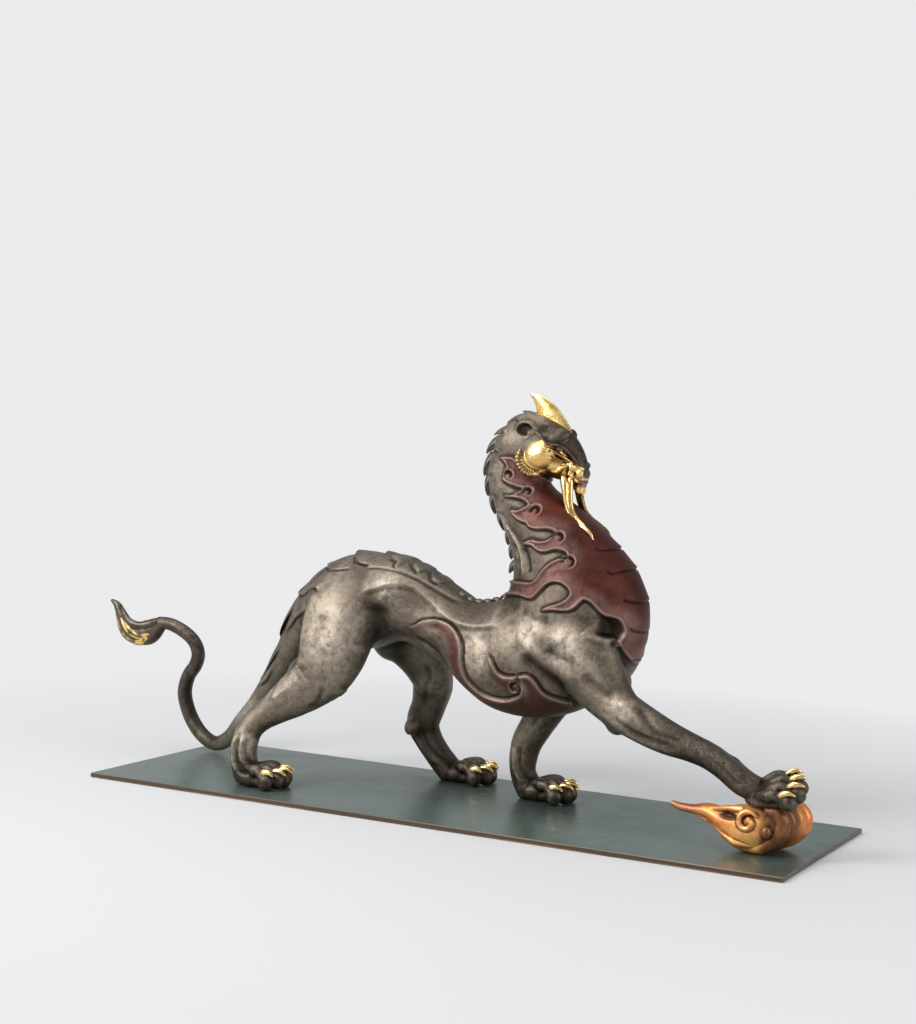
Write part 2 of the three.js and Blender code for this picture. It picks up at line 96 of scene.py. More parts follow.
# %% Lamps
def soft_box(name, place, aim, width, height, power):
    lamp = bpy.data.lights.new(name, "AREA")
    lamp.shape = "RECTANGLE"
    lamp.size = width
    lamp.size_y = height
    lamp.energy = power
    thing = bpy.data.objects.new(name, lamp)
    thing.location = place
    thing.rotation_euler = (Vector(aim) - Vector(place)).to_track_quat("-Z", "Y").to_euler()
    bpy.context.scene.collection.objects.link(thing)


soft_box("box_overhead", (-0.25, -0.2, 1.5), (0.0, 0.0, 0.1), 1.3, 1.1, 10.0)
soft_box("box_left", (-1.1, -1.5, 1.15), (0.0, 0.0, 0.15), 0.8, 1.1, 38.0)
soft_box("box_right", (1.7, -0.3, 0.7), (0.1, 0.0, 0.15), 0.4, 1.0, 9.0)
print("three soft boxes hang")

# %% Room
BACKGROUND = (0.835, 0.835, 0.845)
ROOM_COLOR = (0.93, 0.95, 0.97)
ROOM_LIGHT = 0.45
room = bpy.data.worlds.new("room")
bpy.context.scene.world = room
room.use_nodes = True
room_nodes = room.node_tree.nodes
link = room.node_tree.links.new
shining = room_nodes["Background"]
shining.inputs["Color"].default_value = (*ROOM_COLOR, 1.0)
shining.inputs["Strength"].default_value = ROOM_LIGHT
seen = room_nodes.new("ShaderNodeBackground")
seen.inputs["Color"].default_value = (*BACKGROUND, 1.0)
either = room_nodes.new("ShaderNodeMixShader")
path = room_nodes.new("ShaderNodeLightPath")
link(path.outputs["Is Camera Ray"], either.inputs["Fac"])
link(shining.outputs["Background"], either.inputs[1])
link(seen.outputs["Background"], either.inputs[2])
link(either.outputs["Shader"], room_nodes["World Output"].inputs["Surface"])
bpy.context.scene.view_settings.view_transform = "Standard"
print("the room shines at", ROOM_LIGHT)

# %% Floor
FLOOR_HALF = 14.0
floor_corners = [(-FLOOR_HALF, -FLOOR_HALF, 0), (FLOOR_HALF, -FLOOR_HALF, 0),
                 (FLOOR_HALF, FLOOR_HALF, 0), (-FLOOR_HALF, FLOOR_HALF, 0)]
floor_mesh = bpy.data.meshes.new("floor")
floor_mesh.from_pydata(floor_corners, [], [(0, 1, 2, 3)])
floor = bpy.data.objects.new("floor", floor_mesh)
bpy.context.scene.collection.objects.link(floor)
print("floor", 2 * FLOOR_HALF, "metres wide")

# %% [markdown]
# Clay comes before carving. Each part of the body is a row of oval slices, as a modeller would
# measure them, and a smooth curve is drawn through the rows. These helpers turn such rows into
# closed skins: slices across the trunk, level slices up the neck, and slices along a bent limb.

# %% Smooth curves through rows
def on_curve(p0, p1, p2, p3, t):
    """The smooth curve between p1 and p2, at a share t of the way"""
    return 0.5 * (2 * p1 + (p2 - p0) * t + (2 * p0 - 5 * p1 + 4 * p2 - p3) * t * t
                  + (3 * p1 - p0 - 3 * p2 + p3) * t ** 3)


def smooth_rows(rows, steps):
    """Rows on a smooth curve through the given rows, `steps` to each gap"""
    p = np.array(rows, float)
    last = len(p) - 1
    out = []
    for i in range(last):
        around = p[max(i - 1, 0)], p[i], p[i + 1], p[min(i + 2, last)]
        out += [on_curve(*around, s / steps) for s in range(steps)]
    return np.array(out + [p[-1]])


def smooth_outline(outline):
    """A closed outline drawn through its corners, with two more points on each side"""
    p = np.array(outline, float)
    out = []
    for i in range(len(p)):
        around = p[i - 1], p[i], p[(i + 1) % len(p)], p[(i + 2) % len(p)]
        out += [on_curve(*around, s / 3) for s in range(3)]
    return np.array(out)


print("a gap of 2 rows gets", len(smooth_rows([[0.0], [1.0]], 4)), "points at 4 steps")

# %% Closed skins over rings
def unit(v):
    return v / max(np.linalg.norm(v), 1e-9)


def circle(sides):
    turn = np.arange(sides) * 2 * math.pi / sides
    return np.cos(turn), np.sin(turn)


def turned_out(points, faces):
    """The same closed skin with its faces pointing out"""
    volume = 0.0
    for f in faces:
        for i in range(1, len(f) - 1):
            volume += np.dot(points[f[0]], np.cross(points[f[i]], points[f[i + 1]]))
    return points, faces if volume > 0 else [tuple(reversed(f)) for f in faces]


def skin(rings, bulge=0.0):
    """A closed skin over rings of equal length, each end drawn to a point `bulge` beyond it."""
    count, sides = rings.shape[:2]
    middles = rings.mean(1)
    first = middles[0] + bulge * unit(middles[0] - middles[1])
    last = middles[-1] + bulge * unit(middles[-1] - middles[-2])
    points = np.vstack([rings.reshape(-1, 3), first, last])
    faces = []
    for k in range(sides):
        n = (k + 1) % sides
        faces.append((count * sides, n, k))
        for r in range(count - 1):
            a = r * sides
            faces.append((a + k, a + n, a + sides + n, a + sides + k))
        end = (count - 1) * sides
        faces.append((count * sides + 1, end + k, end + n))
    return turned_out(points, faces)


BODY_SIDES = 48
print("the trunk has", BODY_SIDES, "sides")

# %% Trunk, neck, limbs and eggs
def slices_across(rows, steps=5):
    """A body from slices across X: [x, top, bottom, half width]"""
    c, s = circle(BODY_SIDES)
    rings = []
    for x, top, bottom, half in smooth_rows(rows, steps):
        height = (top + bottom) / 2 + (top - bottom) / 2 * s
        rings.append(np.stack([np.full(BODY_SIDES, x), MIDDLE + half * c, height], 1))
    return skin(np.array(rings))


def slices_level(rows, steps=5):
    """A body from level slices: [z, back, front, half width]"""
    c, s = circle(BODY_SIDES)
    rings = []
    for z, back, front, half in smooth_rows(rows, steps):
        reach = (back + front) / 2 + (front - back) / 2 * c
        rings.append(np.stack([reach, MIDDLE + half * s, np.full(BODY_SIDES, z)], 1))
    return skin(np.array(rings))


def limb(rows, steps=6, sides=24, bulge=4.0):
    """A limb along a path: [x, y, z, half depth, half width], its width lying across the beast"""
    path = smooth_rows(rows, steps)
    place = path[:, :3]
    c, s = circle(sides)
    rings = []
    for i in range(len(place)):
        along = unit(place[min(i + 1, len(place) - 1)] - place[max(i - 1, 0)])
        deep = unit(np.cross((0.0, 1.0, 0.0), along))
        across = np.cross(along, deep)
        rings.append(place[i] + path[i, 3] * c[:, None] * deep + path[i, 4] * s[:, None] * across)
    return skin(np.array(rings), bulge)


def ball(place, radii, lean=0.0, around=24, down=14):
    """An egg at `place`, leaned by `lean` degrees about Y"""
    c, s = circle(around)
    rings = []
    for i in range(1, down):
        rise = math.pi * i / down
        ring = [c * math.sin(rise), s * math.sin(rise), np.full(around, math.cos(rise))]
        rings.append(np.stack(ring, 1))
    points = np.vstack([*rings, [[0, 0, 1.0], [0, 0, -1.0]]]) * np.array(radii)
    a = math.radians(lean)
    turn = np.array([[math.cos(a), 0, math.sin(a)], [0, 1, 0], [-math.sin(a), 0, math.cos(a)]])
    points = points @ turn.T + np.array(place)
    faces = []
    last = (down - 2) * around
    for k in range(around):
        n = (k + 1) % around
        faces.append((len(points) - 2, k, n))
        for r in range(down - 2):
            b = r * around
            faces.append((b + k, b + around + k, b + around + n, b + n))
        faces.append((len(points) - 1, last + n, last + k))
    return turned_out(points, faces)


print("an egg has", len(ball([0, 0, 0], [1, 1, 1])[0]), "points")

# %% From skins to meshes
def object_from(name, points, faces):
    mesh = bpy.data.meshes.new(name)
    mesh.from_pydata((np.asarray(points) * MM).tolist(), [], [tuple(f) for f in faces])
    mesh.validate()
    thing = bpy.data.objects.new(name, mesh)
    bpy.context.scene.collection.objects.link(thing)
    return thing


def baked(thing):
    """Works the object's modifiers into a plain mesh"""
    graph = bpy.context.evaluated_depsgraph_get()
    mesh = bpy.data.meshes.new_from_object(thing.evaluated_get(graph))
    thing.modifiers.clear()
    old = thing.data
    thing.data = mesh
    bpy.data.meshes.remove(old)
    mesh.name = thing.name


def clay(name, parts, grain):
    """Closed skins pressed into one closed skin, with faces about `grain` millimetres wide"""
    points = []
    faces = []
    for part_points, part_faces in parts:
        base = sum(len(p) for p in points)
        points.append(np.asarray(part_points))
        faces += [tuple(i + base for i in f) for f in part_faces]
    thing = object_from(name, np.vstack(points), faces)
    knead = thing.modifiers.new("knead", "REMESH")
    knead.mode = "VOXEL"
    knead.voxel_size = grain * MM
    knead.use_smooth_shade = True
    baked(thing)
    print(name, len(thing.data.vertices), "points")
    return thing


print("skins become meshes at", MM, "metres to the unit")

# %% [markdown]
# The carving works on the points of a kneaded skin. These helpers read and move the points, smooth
# a region as a thumb does, measure distances to lines and outlines drawn on the beast's side, and
# find the hollows and ridges that the patina will follow.

# %% Reading and moving the points of a mesh
def points_of(thing):
    flat = np.empty(len(thing.data.vertices) * 3)
    thing.data.vertices.foreach_get("co", flat)
    return flat.reshape(-1, 3) / MM


def normals_of(thing):
    flat = np.empty(len(thing.data.vertices) * 3, np.float32)
    thing.data.vertex_normals.foreach_get("vector", flat)
    return flat.reshape(-1, 3).astype(float)


def move(thing, points):
    thing.data.vertices.foreach_set("co", (np.asarray(points) * MM).ravel())
    thing.data.update()


def edges_of(thing):
    flat = np.empty(len(thing.data.edges) * 2, np.int32)
    thing.data.edges.foreach_get("vertices", flat)
    return flat.reshape(-1, 2)


def neighbour_mean(edges, values):
    """The mean of each point's neighbours"""
    n = len(values)
    share = np.bincount(edges.ravel(), minlength=n).clip(1)
    columns = values if values.ndim == 2 else values[:, None]
    out = np.empty_like(columns, float)
    for k in range(columns.shape[1]):
        column = columns[:, k]
        out[:, k] = (np.bincount(edges[:, 0], column[edges[:, 1]], n)
                     + np.bincount(edges[:, 1], column[edges[:, 0]], n)) / share
    return out if values.ndim == 2 else out[:, 0]


def soften(thing, passes, weight=None):
    """Rubs the skin smooth, all over or by a weight for each point"""
    edges = edges_of(thing)
    points = points_of(thing)
    rub = 0.5 if weight is None else 0.5 * weight[:, None]
    for _ in range(passes):
        points += rub * (neighbour_mean(edges, points) - points)
    move(thing, points)


def write(thing, name, values):
    """Keeps a mask on the mesh, for the finishes to read"""
    layer = thing.data.attributes.get(name) or thing.data.attributes.new(name, "FLOAT", "POINT")
    layer.data.foreach_set("value", np.clip(values, 0, 1).astype(np.float32))


print("points can be read, moved, rubbed and marked")

# %% Measuring along drawn lines
def step(values, low, high):
    """A soft step: 0 below `low`, 1 above `high`"""
    t = np.clip((values - low) / (high - low), 0, 1)
    return t * t * (3 - 2 * t)


def bell(values, centre, width):
    return np.exp(-((values - centre) / width) ** 2)


def distance_to_line(points, line, flat_y):
    """Distance to a drawn line, with sideways depth counted by `flat_y`, and the share along it"""
    scale = np.array([1.0, flat_y, 1.0])
    p = points * scale
    path = np.asarray(line, float) * scale
    lengths = np.linalg.norm(np.diff(path, axis=0), axis=1)
    run = np.concatenate([[0], np.cumsum(lengths)])
    best = np.full(len(p), 1e9)
    share = np.zeros(len(p))
    for i in range(len(path) - 1):
        d = path[i + 1] - path[i]
        t = np.clip(((p - path[i]) @ d) / max(d @ d, 1e-9), 0, 1)
        gap = np.linalg.norm(p - path[i] - t[:, None] * d, axis=1)
        near = gap < best
        best[near] = gap[near]
        share[near] = ((run[i] + t * lengths[i]) / run[-1])[near]
    return best, share


def side_distance(x, z, line):
    """Signed distance to a drawn line, positive on its right-hand side, and the share along it"""
    path = np.asarray(line, float)
    lengths = np.hypot(*np.diff(path, axis=0).T)
    run = np.concatenate([[0], np.cumsum(lengths)])
    best = np.full(len(x), 1e9)
    signed = np.full(len(x), 1e9)
    share = np.zeros(len(x))
    for i in range(len(path) - 1):
        dx, dz = path[i + 1] - path[i]
        t = np.clip(((x - path[i, 0]) * dx + (z - path[i, 1]) * dz) / (lengths[i] ** 2 + 1e-9), 0, 1)
        gx = x - path[i, 0] - t * dx
        gz = z - path[i, 1] - t * dz
        gap = np.hypot(gx, gz)
        near = gap < best
        best[near] = gap[near]
        signed[near] = (np.where(gx * dz - gz * dx >= 0, 1, -1) * gap)[near]
        share[near] = ((run[i] + t * lengths[i]) / run[-1])[near]
    return signed, share


def outline_depth(x, z, outline):
    """How deep each place lies inside a closed outline. Outside, it is negative."""
    best = np.full(len(x), 1e9)
    inside = np.zeros(len(x), bool)
    for (ax, az), (bx, bz) in zip(outline, np.roll(outline, -1, 0)):
        dx, dz = bx - ax, bz - az
        t = np.clip(((x - ax) * dx + (z - az) * dz) / max(dx * dx + dz * dz, 1e-9), 0, 1)
        best = np.minimum(best, np.hypot(x - ax - t * dx, z - az - t * dz))
        if abs(dz) > 1e-9:
            crosses = ((az > z) != (bz > z)) & (x < dx * (z - az) / dz + ax)
            inside ^= crosses
    return np.where(inside, best, -best)


def hollows_and_ridges(thing, passes):
    """For each point, how much it lies in a hollow, and how much on a ridge"""
    edges = edges_of(thing)
    points = points_of(thing)
    normals = normals_of(thing)
    bend = ((neighbour_mean(edges, points) - points) * normals).sum(1)
    for _ in range(passes):
        bend = 0.5 * bend + 0.5 * neighbour_mean(edges, bend)
    spread = np.percentile(np.abs(bend), 90) + 1e-9
    return np.clip(bend / spread, 0, 1), np.clip(-bend / spread, 0, 1)


print("a bell one width from its centre is", round(float(bell(1.0, 0.0, 1.0)), 3))

# %% [markdown]
# The rows below are the beast's measurements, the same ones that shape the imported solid: the trunk
# is cut across, the neck is cut level, and the limbs and the tail follow their paths.

# %% Rows of the body
# Trunk and head: [x, top, bottom, half width]
TRUNK = [
    [-156, 163, 134, 11], [-146, 177, 124, 22], [-130, 187, 116, 31], [-110, 195.5, 115, 36],
    [-86, 197, 119, 37], [-62, 196, 127, 35], [-40, 187, 122, 32], [-18, 175, 110, 31], [2, 165.5, 94, 34],
    [22, 167, 82, 38], [45, 176, 77, 41], [70, 182, 78, 43], [95, 184, 85, 42], [118, 180, 99, 36],
    [135, 168, 113, 26], [144, 152, 126, 12],
]
HEAD = [
    [17, 296, 284, 7], [24, 306, 276, 13.5], [34, 314.5, 270, 17], [45, 318.5, 268, 18], [56, 317, 268, 17.5],
    [66, 312.5, 267, 16], [76, 307, 265, 13.5], [84, 300.5, 261.5, 11], [90, 292.5, 259, 8.5],
    [94, 284, 259, 6.5], [96.3, 276, 264, 4.2],
]
# Neck: [z, back, front, half width]
NECK = [
    [119, 88, 136, 20], [128, 70, 143, 31], [140, 50, 147, 39.5], [156, 34, 149.5, 42], [170, 36, 148.5, 41],
    [184, 38, 144, 38], [198, 38, 137, 35], [210, 36, 127, 32], [221, 31, 115.5, 29.5], [231, 25, 104, 27.5],
    [241, 19, 90, 25.5], [252, 14.5, 73, 23.5], [265, 11, 60, 20.5], [278, 12, 56, 17.5], [290, 16.5, 54, 15],
    [300, 25, 50, 10],
]
# Legs and tail: [x, y, z, half depth, half width]
HIND_RIGHT = [
    [-99, -6, 181, 22, 14], [-103, -23, 158, 34, 22], [-106, -31, 130, 34.5, 20.5],
    [-112, -36, 106, 28.5, 17], [-124, -40, 90, 22.5, 14.5], [-138, -43, 78.5, 18, 12.5],
    [-152.5, -46, 68, 14, 11], [-165, -49, 58.5, 11.5, 10], [-173.5, -51, 49, 11, 10],
    [-177, -53, 37, 11.5, 10], [-177, -54, 25, 11.5, 10.5], [-173.5, -55, 14, 11, 12],
    [-171, -55.5, 7.5, 9.5, 11],
]
HIND_LEFT = [
    [-93, 12, 181, 22, 14], [-88, 29, 158, 33, 21], [-79, 38, 130, 28, 19.5], [-65, 46, 106, 21.5, 16.5],
    [-59, 51, 87, 18.5, 13.5], [-65, 56, 68, 15.5, 11.5], [-72, 60, 51, 15, 10.5], [-67.5, 63, 37, 12.5, 10],
    [-59.5, 65, 25, 11.5, 10.5], [-50, 66, 14.5, 11, 12], [-45, 66.5, 7.5, 10, 11],
]
FORE_LEFT = [
    [94, 16, 156, 22, 14], [86, 29, 130, 26, 18], [79, 33, 115, 22.5, 16.5], [68, 34, 100, 19.5, 15.5],
    [55, 36, 82, 16.5, 14], [45.5, 37, 65, 14, 12], [37, 38, 50, 13, 11], [33.8, 38, 36, 12, 10.5],
    [34.5, 38, 24, 10.5, 11], [39.5, 38, 14, 11, 12], [43, 38, 7.5, 10, 11],
]
FORE_RIGHT = [
    [86, -6, 172, 18, 12], [93, -15, 158, 29, 19], [104, -23, 141, 31, 20], [120, -27.5, 123, 26.5, 18],
    [135, -30, 106.5, 20.5, 16], [150, -32, 94.5, 16, 14], [167, -32, 87, 14.5, 13], [184.5, -32, 80, 13, 12],
    [202, -32, 75, 11, 11], [218, -32, 70, 10, 11], [232, -32, 63, 10, 11.5], [246, -32, 53.5, 10, 12.5],
    [257, -31.5, 49.5, 9, 12],
]
TAIL = [
    [-126, 3, 166, 19, 16], [-145, 4, 153, 18, 15], [-163, 8, 129, 15, 13], [-181, 14, 102.5, 12.5, 10.5],
    [-201, 21, 76.5, 10, 9.5], [-219, 27, 55, 9, 8.6], [-237, 33, 38, 8, 8], [-255, 40, 20.5, 7.2, 7.2],
    [-274, 46, 12, 6.6, 6.6], [-291, 49, 17, 6.6, 6.6], [-303, 49, 30, 6.6, 6.6], [-309.5, 48, 45, 6.6, 6.6],
    [-310.5, 47, 57, 6.6, 6.6], [-306, 46, 70, 6.4, 6.4], [-297.5, 44, 80.5, 6.3, 6.3],
    [-293.5, 42, 91, 6.2, 6.2], [-297, 40, 102, 6, 6], [-307.5, 38, 110.5, 6, 6], [-321, 36, 116, 5.8, 5.8],
    [-333, 34, 116.5, 5.6, 5.6],
]
TAIL_FLAME = [
    [-326, 34.5, 117, 4, 4], [-333, 34, 113, 8.5, 6.5], [-341, 32, 107.5, 11.3, 8],
    [-350, 31, 105.5, 10.5, 8], [-359.5, 30, 107, 9.8, 7], [-366.5, 30, 113, 8, 6],
    [-370.5, 29, 121.5, 5.5, 4.5], [-375, 28.5, 129.5, 3.6, 3], [-381, 28, 133.5, 1.4, 1.4],
]
# Paws: [x, y, sole, pitch, roll]; toes: [across, forward]
PAWS = [[-159, -57, 4, 0, 0], [-33, 67, 4, 0, 0], [54, 38, 4, 0, 0], [271, -31, 40, 18, 24]]
TOES = [[-13.5, 9], [-4.6, 14], [4.6, 14], [13.5, 9]]
print("rows are in place")

# %% [markdown]
# Muscles lie over the measured body as eggs of clay: thigh, calf, shoulder, forearm and breast. Each
# one stands only a few millimetres proud, and the seams between them are rubbed soft.

# %% Core of the body
# Muscles: x, y from the middle plane, z, three radii, lean. The last seven are on the far side.
MUSCLES = [
    [-102, -28, 134, 25, 18.5, 37, 12], [-121, -25, 136, 15, 16, 34, -6], [-131, -39, 91, 21, 11.5, 10, 50],
    [-84, -27, 162, 22, 13, 18, 20], [-112, -42, 84, 9, 8.5, 9, 0], [103, -27, 146, 22, 18, 25, 40],
    [122, -31, 127, 15, 17, 21, 42], [126, -30, 102, 11, 14, 8.5, 30], [150, -37, 99, 20, 12, 9.5, 26],
    [133, -22, 114, 16, 14, 17, 30], [82, -22, 160, 15, 19, 22, 55], [148, -33, 89, 16, 12, 7, 20],
    [-178, -50, 50, 8, 8.5, 9, 0], [-113, -42, 79, 7, 8, 6, 0], [-137, -42, 90, 12, 9, 6, 40],
    [143, -31, 84, 9, 9.5, 8.5, 0], [235, -31, 64, 7.5, 9, 8, 20],
    [-76, 44, 49, 6.5, 7.5, 9, 15],
    [-86, 30, 138, 24, 20, 34, 12], [-60, 44, 97, 15, 14.5, 23, 0], [85, 28, 132, 24, 19.5, 27, 25],
    [62, 33, 92, 15, 14.5, 20, 32], [-76, 59, 55, 8, 8.5, 9, 0], [-52, 51, 90, 9, 9, 12, 0],
]
CORE_GRAIN = 2.0
CORE_PASSES = 60


def muscle(row):
    x, y, z, rx, ry, rz, lean = row
    return ball([x, MIDDLE + y, z], [rx, ry, rz], lean)


core_parts = [slices_across(TRUNK), slices_level(NECK), slices_across(HEAD)]
core_parts += [limb(rows) for rows in (HIND_RIGHT, HIND_LEFT, FORE_LEFT, FORE_RIGHT)]
core_parts += [muscle(row) for row in MUSCLES]
core_parts.append(limb(TAIL[:6]))
core = clay("core", core_parts, CORE_GRAIN)
print("core has", len(core_parts), "parts")

# %% Seams rubbed soft
# Joints that are rubbed softest: x, y from the middle plane, z, radius
JOINTS = [
    [96, -26, 142, 40], [92, 28, 140, 42], [-94, -26, 150, 42], [-84, 30, 148, 46], [66, 0, 178, 56],
    [-70, -30, 128, 26], [40, 0, 255, 40], [130, -26, 110, 24], [-140, 5, 158, 40], [62, 30, 110, 24],
]
core_points = points_of(core)
weight = np.full(len(core_points), 0.12)
for x, y, z, radius in JOINTS:
    away = np.linalg.norm(core_points - np.array([x, MIDDLE + y, z]), axis=1)
    weight = np.maximum(weight, 0.8 * step(-away, -radius, -0.45 * radius))
soften(core, int(round(CORE_PASSES * (2.0 / CORE_GRAIN) ** 2)), weight)
core_skin = (points_of(core), [tuple(p.vertices) for p in core.data.polygons])
bpy.data.objects.remove(core)
print("core", len(core_skin[0]), "points")

# %% [markdown]
# Each paw is a heel pad with four round toes. A toe rises to a knuckle and drops to a round end, and
# deep gaps part it from the next. The forepaw on the cloud is pitched up and rolled outwards, so the
# paws are laid out flat first and then turned.

# %% Paws
def turned(points, paw):
    """Points of a flat paw, turned and carried to its place"""
    x, y, sole, pitch, roll = paw
    r = math.radians(roll)
    p = math.radians(pitch)
    over = np.array([[1, 0, 0], [0, math.cos(r), -math.sin(r)], [0, math.sin(r), math.cos(r)]])
    up = np.array([[math.cos(p), 0, -math.sin(p)], [0, 1, 0], [math.sin(p), 0, math.cos(p)]])
    out = np.asarray(points) @ over.T @ up.T
    return out + np.array([x, y, sole])


def paw_parts(paw):
    parts = [ball([-5, 0, 8], [15.5, 15, 9.5]), ball([3, 0, 6], [12, 13.5, 6.5])]
    for across, forward in TOES:
        parts.append(limb([
            [forward - 15, across * 0.62, 13.5, 4.4, 3.8], [forward - 9, across * 0.86, 15.4, 4.4, 3.7],
            [forward - 3, across * 1.0, 15.6, 4.3, 3.8], [forward + 2, across * 1.06, 12, 4.0, 3.9],
            [forward + 6, across * 1.1, 8, 4.4, 4.2],
        ], 4, 16, 2.5))
        parts.append(ball([forward - 6, across * 0.95, 15.0], [4.6, 4.5, 4.9]))
        parts.append(ball([forward + 6.2, across * 1.12, 7.0], [6.9, 4.9, 6.9]))
    out = []
    for points, faces in parts:
        moved = turned(points, paw)
        moved[:, 2] = np.maximum(moved[:, 2], paw[2] + 0.05)
        out.append((moved, faces))
    return out


print("a paw has", len(paw_parts(PAWS[0])), "parts")

# %% The one cast skin
SKIN_GRAIN = 0.9
BROW_RADII = [15, 8, 8.4]
BROW_LEAN = -28
figure_parts = [core_skin, limb(TAIL, 6, 20)]
figure_parts += [limb(rows) for rows in (HIND_RIGHT[5:], HIND_LEFT[4:], FORE_LEFT[4:], FORE_RIGHT[5:])]
for paw in PAWS:
    figure_parts += paw_parts(paw)
for side in (-1, 1):
    figure_parts.append(ball([48.5, MIDDLE + side * 14.2, 304], [9.5, 5.5, 8]))
    figure_parts.append(ball([69, MIDDLE + side * 6.4, 296.2], BROW_RADII, BROW_LEAN))
figure = clay("pixiu_body", figure_parts, SKIN_GRAIN)
points = points_of(figure)
points[:, 2] = np.maximum(points[:, 2], PLATE_TOP + 0.02)
move(figure, points)
near_paw = np.zeros(len(points))
for paw in PAWS:
    away = np.linalg.norm(points - turned([[6, 0, 9]], paw)[0], axis=1)
    near_paw = np.maximum(near_paw, step(-away, -30, -22))
soften(figure, 7, 1 - 0.75 * near_paw)

# %% [markdown]
# The red mantle is drawn on the side of the neck as flame tongues that curl at their roots. It
# stands two to three millimetres proud of the hide, with a thin lip along its edge, the way a border
# is sharpened in wax before casting. On the flank, ribbons rise to a sharp crest along one edge only
# and sink back into the hide on the other. Drawn outlines suit this better than modelled strips,
# because the relief then follows the muscles under it.

# %% Outline of the mantle
# Points of the outline: [x, z]
MANTLE = [
    [52, 272], [44, 278], [40, 281.5], [35.4, 282], [31.5, 282], [27.7, 281], [32, 278.5], [35.2, 274.5],
    [33.4, 270.5],
    [32.6, 267], [33.6, 263.8], [35.6, 262.5], [40, 260.6], [47.5, 258.4], [50.6, 257.4], [46.3, 254.4],
    [43, 252.5], [35.6, 252], [40, 250.9], [48.8, 250.2], [53.8, 248.6], [57.6, 245.4], [53.8, 243],
    [48.8, 240.9], [43.8, 241.5], [44.4, 238.8], [48.8, 235], [53.8, 232.8], [58.8, 231.6], [61.3, 228.8],
    [67.5, 227.5], [75, 228.2], [81, 227.2], [83.6, 225], [81.3, 222.5], [77.5, 219.4], [71.3, 218.4],
    [65, 219.4], [60, 218], [56.3, 215.6], [65, 214.8], [68.8, 212.5], [73.8, 210.6], [80, 211.3], [85, 213],
    [91, 212.6], [95.2, 210.4], [96, 208.4], [94.5, 206.6], [90, 206.3], [85, 203.8], [80, 200], [76.3, 195],
    [73, 190], [68.8, 187], [62.5, 186], [50, 185.6], [37.5, 184], [35, 178], [33, 171], [38, 172.6],
    [45, 174.4], [56.3, 175.6], [65, 174.4], [71.3, 175], [77.5, 181.3], [83.8, 187], [90, 188.8],
    [96.3, 187.5], [101.3, 183.8], [102.5, 180], [100, 176.3], [95, 173], [90, 171.3], [84, 169], [80, 166.3],
    [85, 166.6], [90, 167.6], [96.3, 167.6], [102.5, 168], [107.5, 170.6], [111.3, 175], [113.8, 177],
    [118.8, 175], [123.8, 170], [128.8, 165.6], [135, 164.4], [138.8, 161.3], [140.6, 155], [139.6, 150.4],
    [137.6, 147], [138.4, 142.4], [140.6, 137], [143, 131], [145, 125], [147, 119], [175, 119], [175, 262],
    [80, 262], [62, 268],
]
print("the mantle's outline has", len(MANTLE), "corners")

# %% Ribbons, crests and curls
# The sharp upper edges of the three ribbons, drawn from the flank to the breast
LONG_EDGE = [
    [-35.7, 144.3], [-28.6, 148.6], [-21.4, 150.3], [-14.3, 150.3], [-7, 148.6], [0, 145], [5.7, 140],
    [9.3, 134.3], [10.7, 128], [10.7, 120.7], [12.1, 113.6], [15, 106.4], [20.7, 100.7], [28.6, 95.7],
    [37, 93.3], [45.7, 93], [54.3, 95], [61.4, 98.6],
]
SPUR_EDGE = [[34.3, 127.5], [38.6, 125], [41.4, 120.7], [45, 115.7], [50.7, 113], [57, 113]]
BREAST_EDGE = [
    [66, 115.2], [70, 115.7], [74.3, 114.3], [78.6, 110], [81.4, 105], [87, 100.7], [94.3, 98], [101.4, 96.4],
]
# Fields of red on the flank: their crests are sharp, and their other edges fade
RIBBONS = [
    [[-41.4, 142], *LONG_EDGE, [64.3, 103], [70, 90], [60, 66], [20, 66], [6, 88], [-1, 99], [-4, 110],
     [-5, 122], [-6, 131], [-9, 136.5], [-14.3, 140], [-23, 142], [-33, 141]],
    [*SPUR_EDGE, [63, 112], [65, 104], [60, 98.5], [53, 98.5], [46, 100], [40, 105], [37, 112], [35.5, 120]],
    [[60, 113.6], *BREAST_EDGE, [98, 84], [64, 66], [60, 84], [66, 98], [67, 106]],
]
CRESTS = [
    [[-43, 141.4], *LONG_EDGE, [64.6, 103], [64, 107], [60.4, 109]],
    [*SPUR_EDGE, [61.6, 113.6]],
    [[61, 113.4], *BREAST_EDGE],
]
# Curls: [x, z, radius, turn of the open end in degrees, +1 or -1 for the way it winds]
CURLS = [
    [37.5, 267.3, 5.2, 200, 1], [54.2, 254.8, 4.6, 190, 1], [64.4, 240.8, 5.4, 190, 1],
    [86.6, 221.4, 5.6, 180, 1], [98, 203.4, 6.6, 170, 1], [58.6, 104.2, 5.4, 60, -1],
]
print(len(RIBBONS), "ribbons and", len(CURLS), "curls are drawn")

# %% Profiles of mantle, crest and curl
def relief(depth, height, lip, groove):
    """Height of a raised field by its depth inside the outline: it dips behind its lip and rises again"""
    dip = 1 - 0.45 * step(depth, 0.8, 3.0) + 0.45 * step(depth, 5.0, 15.0)
    field = height * dip * step(depth, -0.35, 0.35)
    return field + lip * bell(depth, 0.75, 0.6) - groove * bell(depth, -1.1, 0.8)


